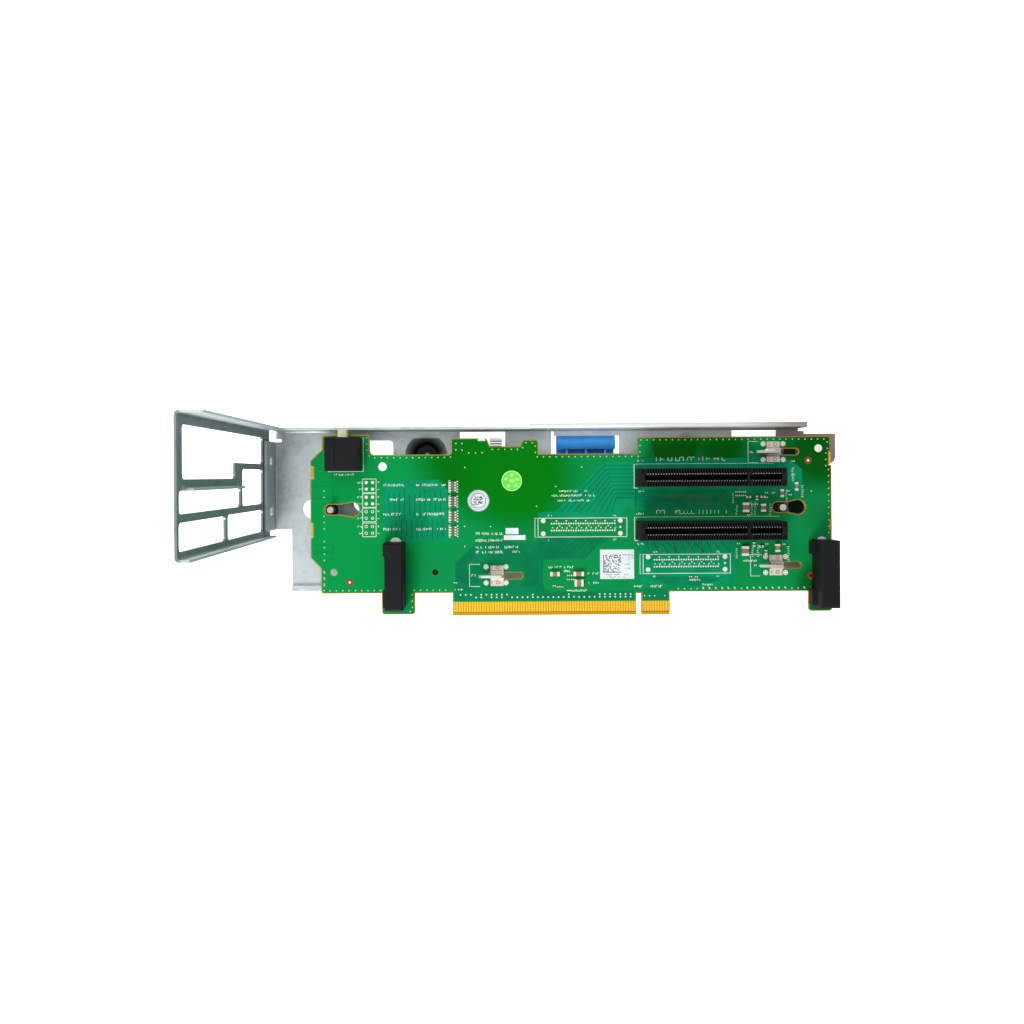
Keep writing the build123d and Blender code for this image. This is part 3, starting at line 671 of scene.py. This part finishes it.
def build_traces():
    """Zones of buried copper that show darker and bluer through the mask, with their lines, painted glints
    on some of the lines and a patch of painted shade.
    """
    zones = Layer("trace_zones", TRACE_ZONE, "board_green", ZONE_HIGH)
    for corners in ZONE_OUTLINES:
        zones.outline(corners)
    zones.finish()
    lower = Layer("lower_zones", LOWER_ZONE, "board_green", ZONE_HIGH)
    for corners in LOWER_OUTLINES:
        lower.outline(corners)
    lower.finish()
    lines = Layer("trace_lines", TRACE_DARK, "board_green", LINE_HIGH)
    # Upright lines right of the pad boxes
    for i in range(11):
        x = 46.5 + i * 2.0
        lines.block(x, -29.0 - (i % 3) * 0.4, TRACE, 8.5 + (i % 4) * 1.1)
        lines.block(x + 0.8, -38.6, TRACE, 6.0 + (i % 3))
    # Lines from the upper card slot, from the left footprint to the clip, and between the card slots
    for i in range(9):
        step = i * 1.05
        level = -14.4 - step * 1.5
        lines.path(((142.0, level), (130.4 + step * 0.5, level), (113.0 + step * 2.4, -32.6)), TRACE)
        bend, fall = 104.4 + i * 0.2, 99.6 + i * 0.55
        level = -45.2 - step * 0.55
        route = ((111.0 + step * 2.1, -42.6), (105.4 + step * 2.1, level), (bend, level),
                 (fall, level - bend + fall), (fall, -59.0), (fall - 2.2, -61.2))
        lines.path(route, TRACE)
        level = -24.4 - step * 0.72
        lines.path(((142.6, level), (177.6 - step * 0.6, level)), TRACE)
    # Lines left of the lower left clip
    for i in range(4):
        x = 73.2 + i * 0.9
        lines.path(((x + 7.0, -45.2), (x, -52.2), (x, -57.4), (x + 4.4, -61.8)), TRACE)
    # Lines above and below the right footprint
    for i in range(12):
        lines.path(((146.5 + i * 2.6, -44.2), (147.5 + i * 2.6 + (i % 4), -48.4)), TRACE)
        lines.block(162.0, -57.9 - i * 0.29, 30.0 - i * 1.4, 0.14)
    lines.finish()
    # Painted glints: light lines where the traces catch the light
    glints = Layer("trace_glints", TRACE_PAINTED_GLINT, "board_green", GLINT_HIGH)
    for i in range(7):
        x, y = 147.6 + i * 4.3, -26.0 - i * 0.62
        glints.path(((x, -43.9), (x - (i > 2) * 2.6, -48.6)), 0.2)
        glints.block(160.0 + i * 1.6, y, 22.0 - i * 2.4, 0.15)
        glints.path(((171.0 + i * 1.2, y), (173.0 + i * 1.2, y + 1.8)), 0.15)
    glints.finish()
    # Painted shade: a darker patch on the board
    shade = Layer("dark_zones", PAINTED_SHADE_ZONE, "board_green", SHADE_HIGH)
    shade.outline(SHADE_OUTLINE)
    shade.finish()


PAD_BOXES = ((38.95, -21.8), (38.92, -27.5), (38.89, -33.1), (38.86, -38.9))
PAD_BOX = (5.2, 5.3)
CLIP_PADS = ((87.87, -56.65), (195.7, -9.5), (196.4, -53.3))
CLIP_PAD_REACH = (3.85, 3.08)
RED_RINGS = ((31.1, -59.24), (209.3, -12.96), (210.1, -57.65))
FOOTPRINTS = (
    # left, bottom, right, top, holes' left and right x, holes' lower and upper y, pads' left and right x
    (104.3, -42.1, 138.8, -34.8, 106.3, 136.25, -40.8, -35.8, 109.6, 134.1),
    (145.0, -56.5, 178.9, -49.1, 146.95, 176.8, -55.0, -50.1, 149.4, 174.1),
)
SINGLE_VIAS = (
    (76.0, -14.9), (75.8, -37.8), (75.8, -45.5), (85.9, -37.9), (103.8, -30.1), (121.4, -15.0),
    (111.3, -22.5), (210.4, -24.8), (72.6, -5.6), (75.0, -5.6), (72.6, -8.0), (75.0, -8.2),
    (77.6, -9.3), (80.2, -9.3), (82.8, -9.2),
)
PAD_HIGH = 0.06
PIT_HIGH = 0.08
HEADER_PAD_REACH = (1.22, 1.28)
HEADER_PAD_R = (0.64, 0.64, 0.6, 0.6)
HEADER_PIT_R = 0.32
CLIP_PAD_R = 1.0
PIT_REACH = 0.62
PIT_R = 0.13
RED_HIGH = 0.05
RED_RING_R = 1.35
RED_HOLE_R = 0.5
CORNER_PAD = (213.25, -8.25)
CORNER_PAD_R = 1.5
FOOTPRINT_HOLE_R = 0.92
FOOTPRINT_COUNT = 27
CONTACT_VIA_R = 0.32
CONTACT_VIA_ROWS = (-64.35, -65.4)
PEG_SOLDER = ((49.0, -44.2), (214.4, -44.9))
PEG_SOLDER_R = 2.3


def build_pads():
    """Bare and tinned pads and rings on the board's face, and black discs of painted shade in its holes."""
    pads = Layer("solder_pads", SOLDER, "tinned_steel", PAD_HIGH)
    # Painted shade: black discs for the dark insides of the holes
    pits = Layer("drilled_holes", PIT_BLACK, "black_plastic", PIT_HIGH)
    for row, (x, y) in enumerate(PAD_BOXES):
        for dx in (-HEADER_PAD_REACH[0], HEADER_PAD_REACH[0]):
            for dy in (-HEADER_PAD_REACH[1], HEADER_PAD_REACH[1]):
                pads.disc(x + dx, y + dy, HEADER_PAD_R[row], 14)
                if row > 1:
                    pits.disc(x + dx, y + dy, HEADER_PIT_R, 12)
    for x, y in CLIP_PADS:
        for dx in (-CLIP_PAD_REACH[0], CLIP_PAD_REACH[0]):
            for dy in (-CLIP_PAD_REACH[1], CLIP_PAD_REACH[1]):
                pads.disc(x + dx, y + dy, CLIP_PAD_R, 20)
                for i in range(4):
                    turn = math.pi * (i + 0.5) / 2
                    pit_x = x + dx + PIT_REACH * math.cos(turn)
                    pit_y = y + dy + PIT_REACH * math.sin(turn)
                    pits.disc(pit_x, pit_y, PIT_R, 8)
    red = Layer("copper_rings", COPPER_RED, "gold", RED_HIGH)
    for layer, (x, y) in zip((pads, pads, pits), RED_RINGS):
        red.ring(x, y, RED_RING_R, RED_HOLE_R, 20)
        layer.disc(x, y, RED_HOLE_R, 14)
    red.finish()
    pads.disc(*CORNER_PAD, CORNER_PAD_R, 24)
    for left, bottom, right, top, hole_a, hole_b, hole_low, hole_high, first, last in FOOTPRINTS:
        for x in (hole_a, hole_b):
            for y in (hole_low, hole_high):
                pads.disc(x, y, FOOTPRINT_HOLE_R, 20)
        pads.disc(hole_b, (hole_low + hole_high) / 2, 0.42, 12)
        middle = (hole_low + hole_high) / 2 + 0.15
        for i in range(FOOTPRINT_COUNT):
            x = first + (last - first) * i / (FOOTPRINT_COUNT - 1)
            for dy in (1.25, -1.45):
                pads.disc(x, middle + dy, 0.34, 8)
            if i % 4 != 1:
                pads.disc(x + 0.3, middle + (0.35 if i % 2 else -0.35), 0.26, 8)
            if i % 4 == 2:
                pads.disc(x, middle + 2.3, 0.3, 8)
                pads.disc(x + 0.2, middle - 0.6, 0.28, 8)
    for x, y in SINGLE_VIAS:
        pads.disc(x, y, VIA_R, 8)
    # Vias above the gold contacts, in two rows, and along the board's lower edge
    for i in range(34):
        x = 74.1 + i * 2.0
        if (i < 10 and i != 3) or i % 7 == 0 or i > 26:
            pads.disc(x, CONTACT_VIA_ROWS[0], CONTACT_VIA_R, 8)
        if i > 2 and i not in (5, 9):
            pads.disc(x, CONTACT_VIA_ROWS[1], CONTACT_VIA_R, 8)
    for i in range(5):
        if i != 3:
            pads.disc(145.5 + i * 1.95, -65.1, VIA_R, 8)
    for i in range(5, 26):
        if i not in (11, 19, 20):
            pads.disc(155.9 + i * 2.45, -62.1, VIA_R, 8)
    # Solder that shows beyond the guide blocks' pegs
    for x, y in PEG_SOLDER:
        pads.disc(x, y, PEG_SOLDER_R, 24)
    pads.finish()
    pits.finish()


PRINT_HIGH = 0.07
SWITCH_LINE = ((36.65, -3.0), (36.65, -16.2), (22.9, -16.2))
CLIP_BRACKETS = (
    # left, bottom, right, top
    (77.6, -61.1, 81.7, -52.5),
    (186.0, -13.7, 189.7, -5.5),
    (186.7, -57.7, 190.4, -49.4),
)
SLOT_BRACKETS = (
    # left, bottom, top, right
    (141.7, -23.3, -14.0, 196.0),
    (141.8, -43.7, -34.6, 198.0),
)
MARK_ROWS = (
    # left, right, y, height of the marks
    (112.7, 123.4, -24.3, 0.8),
    (109.8, 126.7, -26.0, 0.8),
    (112.1, 124.7, -28.0, 0.8),
    (80.2, 90.7, -40.6, 1.0),
    (80.2, 90.7, -43.3, 1.0),
    (80.2, 96.8, -45.9, 1.0),
    (80.2, 97.2, -47.8, 1.0),
    (108.4, 113.0, -53.8, 0.8),
    (114.4, 118.0, -53.8, 0.8),
    (114.4, 118.0, -55.4, 0.8),
    (123.6, 127.6, -56.4, 0.8),
    (123.9, 128.0, -60.0, 0.8),
    (115.5, 123.0, -62.9, 0.8),
    (141.0, 145.0, -61.4, 0.8),
    (148.0, 152.0, -61.4, 0.8),
    (72.0, 75.0, -62.3, 0.8),
    (184.0, 190.0, -51.8, 0.8),
    (163.0, 167.0, -59.0, 0.8),
    (168.0, 172.0, -60.9, 0.8),
)
MARK_COLUMNS = (
    # x, bottom, top
    (180.0, -29.2, -24.4),
    (187.2, -34.5, -28.0),
    (188.6, -34.0, -28.0),
    (194.4, -34.0, -29.0),
    (181.4, -34.0, -29.6),
    (181.2, -50.6, -46.2),
    (187.6, -50.0, -45.0),
    (189.6, -50.0, -45.0),
    (201.4, -52.0, -45.5),
    (207.0, -27.0, -21.5),
    (200.8, -28.6, -23.6),
    (203.3, -20.8, -15.2),
)
COLUMN_PITCH = 0.7
MASK_LINE = 0.14
MASK_LINES = (
    ((17.2, -21.9), (24.8, -21.9), (24.8, -26.5), (17.2, -26.5)),
    ((17.2, -44.6), (24.7, -44.6), (24.7, -47.8), (17.2, -47.8)),
)


def build_print():
    """White printed outlines and rows of small marks."""
    ink = Layer("white_print", PRINT_WHITE, "label_white", PRINT_HIGH)
    half, high = PAD_BOX[0] / 2, PAD_BOX[1] / 2
    for x, y in PAD_BOXES:
        ink.box_lines(x - half, y - high, x + half, y + high, SILK)
        ink.ticks(x - half - 1.9, x - half - 0.5, y + 1.3, 0.7)
        ink.ticks(x - half - 1.9, x - half - 0.5, y - 1.3, 0.7)
        ink.block(x + half + 0.9, y + 1.4, 0.7, SILK)
        ink.block(x + half + 0.9, y + 1.4, SILK, 0.7)
        ink.block(x + half + 0.9, y - 1.4, 0.7, SILK)
        ink.ticks(44.4, 52.2, y + 0.2, 1.0)
        ink.ticks(57.2, 68.4, y + 0.2, 1.0)
    for footprint in FOOTPRINTS:
        left, bottom, right, top = footprint[:4]
        ink.box_lines(left, bottom, right, top, SILK)
        ink.block(left - 1.2, (bottom + top) / 2, SILK_THIN, top - bottom)
        ink.block(left - 0.9, top, 0.7, SILK_THIN)
        ink.block(left - 0.9, bottom, 0.7, SILK_THIN)
        for y in (top + 1.0, bottom - 1.2):
            ink.ticks(left + 4.0, left + 5.6, y, 0.7)
            ink.ticks(right - 5.2, right - 4.4, y, 0.7)
    # Switch: lines along its right and lower sides
    ink.path(SWITCH_LINE, SILK)
    ink.ticks(25.4, 33.2, -17.4, 0.8)
    # Brackets and dashes beside the resistor packs
    for left, bottom, right, top, _ in islands("chip_resistor_packs"):
        outer, inner = left - 0.5, left + 0.1
        bracket = ((inner, top + 0.5), (outer, top + 0.2), (outer, bottom - 0.2), (inner, bottom - 0.5))
        ink.path(bracket, SILK)
        for i in range(5):
            ink.block(right + 0.75, bottom + (top - bottom) * i / 4, 0.5, 0.42)
    # Brackets beside the clips
    for left, bottom, right, top in CLIP_BRACKETS:
        ink.path(((right, top), (left, top), (left, bottom), (right, bottom)), SILK_THIN)
        ink.ticks(left + 0.9, left + 2.6, (bottom + top) / 2, 0.9)
    # Card slots: brackets at the left ends, fine lines above and rows of marks
    for x, low, high, right in SLOT_BRACKETS:
        ink.path(((x + 1.6, high), (x, high), (x, low), (x + 1.4, low)), SILK)
        ink.block((x + right) / 2, high + 0.05, right - x, 0.12)
        ink.ticks(x + 0.9, x + 3.6, high + 1.3, 0.8)
        ink.ticks(x + 1.2, x + 3.8, low - 1.2, 0.8)
        ink.ticks(150.4, 177.6, high + 1.9, 1.7, 1.5)
    for left, right, y, height in MARK_ROWS:
        ink.ticks(left, right, y, height)
    for x, low, high in MARK_COLUMNS:
        for i in range(int((high - low) / COLUMN_PITCH)):
            shift = random.uniform(-0.2, 0.2)
            ink.block(x + shift, low + i * COLUMN_PITCH, random.uniform(0.4, 0.9), 0.2)
    ink.finish()
    dark = Layer("mask_lines", TRACE_DARK, "board_green", 0.03)
    for points in MASK_LINES:
        dark.path(points, MASK_LINE)
    dark.finish()


CHIP_CAP = 0.24
CHIP_PROUD = 0.04
PACK_LEADS = 4
TINY_HIGH = 0.35
TINY_END = (0.3, 0.5)
TINY_END_REACH = 0.38
TINY_BODY = (0.46, 0.48)
TINY_BODY_HIGH = 0.32
TINY_CHIPS = (
    (181.5, -25.0), (183.0, -25.0), (184.5, -25.0), (181.5, -26.4), (183.0, -26.4), (184.5, -26.4),
    (193.0, -25.4), (195.6, -25.4), (193.0, -27.2), (201.4, -24.8), (202.2, -26.2), (187.6, -29.8),
    (189.1, -29.8), (182.0, -45.0), (188.0, -49.2), (190.4, -49.4), (193.0, -45.2), (199.6, -45.4),
    (163.4, -57.8), (165.6, -57.8), (116.0, -57.0), (116.0, -58.6), (117.6, -57.0), (117.6, -58.6),
    (112.0, -61.4), (113.4, -61.4), (110.4, -61.0), (72.2, -59.6), (203.4, -13.2), (203.4, -18.4),
    (158.0, -32.6), (186.0, -34.0),
)


def build_chips():
    """Tinned ends on the chip parts, with solder at their feet, and the smallest parts."""
    ends = Layer("chip_ends", SOLDER, "tinned_steel")
    for node in ("large_chip_capacitors", "small_chip_capacitors"):
        for left, bottom, right, top, high in islands(node):
            ends.high = high + CHIP_PROUD
            length, width = right - left, top - bottom
            if length > width:
                for x in (left + CHIP_CAP * length / 2, right - CHIP_CAP * length / 2):
                    ends.block(x, (bottom + top) / 2, CHIP_CAP * length + CHIP_PROUD, width + 2 * CHIP_PROUD)
            else:
                for y in (bottom + CHIP_CAP * width / 2, top - CHIP_CAP * width / 2):
                    ends.block((left + right) / 2, y, length + 2 * CHIP_PROUD, CHIP_CAP * width + CHIP_PROUD)
    for left, bottom, right, top, high in islands("chip_resistor_packs"):
        ends.high = high + CHIP_PROUD
        for i in range(PACK_LEADS):
            y = bottom + (top - bottom) * (i + 0.5) / PACK_LEADS
            for x in (left, right):
                ends.block(x, y, 0.7, 0.55)
    ends.high = BOARD_FACE + TINY_HIGH
    for x, y in TINY_CHIPS:
        ends.block(x - TINY_END_REACH, y, *TINY_END)
        ends.block(x + TINY_END_REACH, y, *TINY_END)
    ends.finish()
    bodies = Layer("tiny_chips", LOOKS["ceramic_tan"], "ceramic_tan", TINY_BODY_HIGH)
    for x, y in TINY_CHIPS:
        bodies.block(x, y, *TINY_BODY)
    bodies.finish()


CLIP_BASE = BOARD_FACE + 0.3
FOLD_Y = 1.75
EYE = (0.7, 2.85)
EYE_R = 0.72
EYE_HOLE_R = 0.5
CREASE_X = -1.6
LATCH_X = 88.1
LATCH_WIDTH = 4.8
LATCH_TOP = 15.1
STRIPE_SHARE = 0.92
STRIPE = 0.42
LATCH_STRIPES = (-4.9, -5.9)
EDGE_PIECE = (82.6, -4.15, 2.9, 0.95)


def build_fittings():
    """Painted shade in the folds of the earthing clips, the stripes of the latch finger and a tinned piece
    beside it.
    """
    # Painted shade: brown strips at the clips' bends, rings round the bulges on their feet and a line at
    # each crease
    folds = Layer("clip_folds", CLIP_FOLD_SHADE, "tinned_steel", 0.03, CLIP_BASE)
    for x, y in CLIP_PADS:
        for side in (-1, 1):
            folds.block(x, y + side * FOLD_Y, 4.6, 0.22)
            folds.ring(x + EYE[0], y + side * EYE[1], EYE_R, EYE_HOLE_R, 16)
            folds.block(x + CREASE_X, y + side * EYE[1], 0.18, 1.5)
    folds.finish()
    stripes = Layer("latch_stripes", PIT_BLACK, "galvanised_steel", 0.02, LATCH_TOP)
    for y in LATCH_STRIPES:
        stripes.block(LATCH_X, y, LATCH_WIDTH * STRIPE_SHARE, STRIPE)
    stripes.finish()
    piece = Layer("edge_piece", SOLDER, "tinned_steel", 0.5)
    piece.block(*EDGE_PIECE)
    piece.finish()


SLOT_TOP = BOARD_FACE + 11.25
SLOT_Y = (-19.25, -39.57)
POCKET_X = (143.75, 183.5, 196.75)
POCKET = 1.6
POCKET_REACH = 2.3


def build_slots():
    """Painted shade: dark squares for the pockets at the ends and the key of both card slots."""
    pockets = Layer("slot_pockets", PIT_BLACK, "black_plastic", 0.02, SLOT_TOP)
    for y in SLOT_Y:
        for x in POCKET_X:
            for side in (-1, 1):
                pockets.block(x, y + side * POCKET_REACH, POCKET * 0.85, POCKET)
    pockets.finish()


STUD_X = (24.2, 198.4)
STUD_Y = -31.0
STUD_R = 2.5
STUD_PIN_R = 1.25
PLATE_SHADES = (
    # x, y, radius, steps: under the right keyhole, the upper right hook's slot and the lower left hole
    (208.6, -31.1, 3.6, 32),
    (205.6, -9.6, 2.4, 24),
    (63.4, -56.5, 2.2, 24),
)


def build_shade():
    """Painted shadow as dark rings on the studs' shoulders, and painted shade on the plate where the board's
    openings show it.
    """
    # Painted shadow: dark rings on the studs' shoulders around the pins
    rings = Layer("stud_shoulder_shadows", PIT_BLACK, "black_plastic", 0.01, BOARD_H)
    for x in STUD_X:
        rings.ring(x, STUD_Y, STUD_R, STUD_PIN_R + 0.02, 32)
    rings.finish()
    shade = Layer("plate_shade", PLATE_SHADE, "galvanised_steel", 0.02, 0.0)
    for x, y, r, steps in PLATE_SHADES:
        shade.disc(x, y, r, steps)
    shade.finish()


LABEL_TOP = BOARD_FACE + 0.12
INK_HIGH = 0.02
GREEN_LABEL = (94.2, -20.2)
GREEN_RING = (3.9, 3.65)
BLOT_REACH = 2.3
WHITE_LABEL = (81.2, -27.8)
WHITE_RINGS = (
    # radius, hole, steps
    (4.2, 4.0, 36),
    (3.0, 2.7, 30),
    (3.5, 3.35, 30),
)
CODE_FIELD = (129.7, -55.9)
CODE_PITCH = 0.44
CODE_DOT = 0.4
CODE_COUNT = 16
CODE_ROWS = (
    # left, right, y
    (137.2, 140.8, -49.2),
    (137.2, 140.8, -50.4),
    (137.2, 140.8, -52.9),
    (137.2, 140.8, -54.4),
    (129.4, 139.0, -56.8),
    (130.4, 138.0, -57.8),
)


def build_labels():
    """Rings, blots and a field of dots on the labels."""
    green = Layer("green_label_marks", INK_GREEN, "label_green", INK_HIGH, LABEL_TOP)
    middle_x, middle_y = GREEN_LABEL
    green.ring(middle_x, middle_y, *GREEN_RING, 36)
    for i in range(5):
        turn = math.pi * (0.5 + 0.4 * i)
        x, y = middle_x + BLOT_REACH * math.cos(turn), middle_y + BLOT_REACH * math.sin(turn)
        for j in range(3):
            shift = random.uniform(-0.3, 0.3)
            green.block(x + (j - 1) * 0.45, y + shift, 0.3, random.uniform(0.6, 1.3))
    for j in range(3):
        green.block(middle_x + (j - 1) * 0.5, middle_y, 0.32, random.uniform(0.9, 1.7))
    green.finish()
    grey = Layer("white_label_marks", INK_GREY, "label_white", INK_HIGH, LABEL_TOP)
    middle_x, middle_y = WHITE_LABEL
    for r, hole, steps in WHITE_RINGS:
        grey.ring(middle_x, middle_y, r, hole, steps)
    for _ in range(44):
        x, y = random.uniform(-1.7, 1.7), random.uniform(-1.7, 1.7)
        grey.block(middle_x + x, middle_y + y, random.uniform(0.3, 0.9), 0.28)
    # Code label: a random field of dots beside short lines
    for i in range(CODE_COUNT):
        for j in range(CODE_COUNT):
            if i == 0 or j == 0 or random.random() > 0.52:
                x, y = CODE_FIELD[0] + i * CODE_PITCH, CODE_FIELD[1] + j * CODE_PITCH
                grey.block(x, y, CODE_DOT, CODE_DOT)
    for left, right, y in CODE_ROWS:
        grey.ticks(left, right, y, 0.5, 0.7)
    grey.finish()


build_rims()
build_traces()
build_pads()
build_print()
build_chips()
build_fittings()
build_slots()
build_shade()
build_labels()


# Room: floor, world, lamps; sizes and places in metres
FLOOR_SIZE = 6
FLOOR_DROP = 0.0002
FLOOR_GLOW = 1.0
# Painted shadow under the cones' holes
CONE_HOLE_SHADOW = (1.4, 1.8)
WORLD_LIGHT = 0.55
LAMP_TARGET = (0, 0, 0.01)
LAMPS = (
    # name, place, size, watts
    ("key", (-0.35, -0.75, 0.65), 0.5, 11),
    ("fill", (-0.35, 0.5, 0.8), 0.7, 4),
)


def build_floor():
    """A white floor that glows for the camera only, apart from under the holes of the cones, which keeps a
    painted shadow there.
    """
    bpy.ops.mesh.primitive_plane_add(size=FLOOR_SIZE, location=(0, 0, -FLOOR_DROP))
    floor = bpy.context.object
    floor.name = "floor"
    material = shader("floor_white", (0.86, 0.86, 0.86), 0.9, specular=0.0)
    tree = material.node_tree
    lit = tree.nodes["Principled BSDF"]
    glow = add(material, "ShaderNodeEmission")
    glow.inputs["Strength"].default_value = FLOOR_GLOW
    both = add(material, "ShaderNodeAddShader")
    path = add(material, "ShaderNodeLightPath")
    mix = add(material, "ShaderNodeMixShader")
    join(material, lit.outputs["BSDF"], both.inputs[0])
    join(material, glow.outputs["Emission"], both.inputs[1])
    open_floor = path.outputs["Is Camera Ray"]
    # Painted shadow: the glow is left out under the cones' holes
    for x, y in CONES:
        clear = add(material, "ShaderNodeMath", operation="MULTIPLY")
        join(material, open_floor, clear.inputs[0])
        join(material, near(material, x, y, *CONE_HOLE_SHADOW), clear.inputs[1])
        open_floor = clear.outputs["Value"]
    join(material, open_floor, mix.inputs["Fac"])
    join(material, lit.outputs["BSDF"], mix.inputs[1])
    join(material, both.outputs["Shader"], mix.inputs[2])
    join(material, mix.outputs["Shader"], tree.nodes["Material Output"].inputs["Surface"])
    floor.data.materials.append(material)


def build_world():
    """Even white light from all around."""
    world = bpy.data.worlds.new("studio")
    bpy.context.scene.world = world
    world.use_nodes = True
    back = world.node_tree.nodes["Background"]
    back.inputs["Color"].default_value = (1, 1, 1, 1)
    back.inputs["Strength"].default_value = WORLD_LIGHT


def add_lamp(name, place, size, power):
    """A square soft lamp that points at the middle of the part."""
    data = bpy.data.lights.new(name, "AREA")
    data.energy = power
    data.size = size
    lamp = bpy.data.objects.new(name, data)
    lamp.location = place
    lamp.rotation_euler = (Vector(LAMP_TARGET) - Vector(place)).to_track_quat("-Z", "Y").to_euler()
    bpy.context.scene.collection.objects.link(lamp)


def build_camera():
    """Looks straight down, where the photograph was taken from."""
    data = bpy.data.cameras.new("camera")
    data.sensor_width = SENSOR
    data.lens = FOCAL_PX / FRAME_PX * SENSOR
    data.shift_x = (FRAME_PX / 2 - VANISH_PX[0]) / FRAME_PX
    data.shift_y = (VANISH_PX[1] - FRAME_PX / 2) / FRAME_PX
    data.clip_start = 0.01
    camera = bpy.data.objects.new("camera", data)
    camera.location = at(VANISH_AT[0], VANISH_AT[1], CAMERA_HEIGHT)
    camera.rotation_euler = (0, 0, ROLL)
    bpy.context.scene.collection.objects.link(camera)
    bpy.context.scene.camera = camera


build_floor()
build_world()
for name, place, size, power in LAMPS:
    add_lamp(name, place, size, power)
build_camera()
bpy.context.scene.view_settings.view_transform = "Standard"
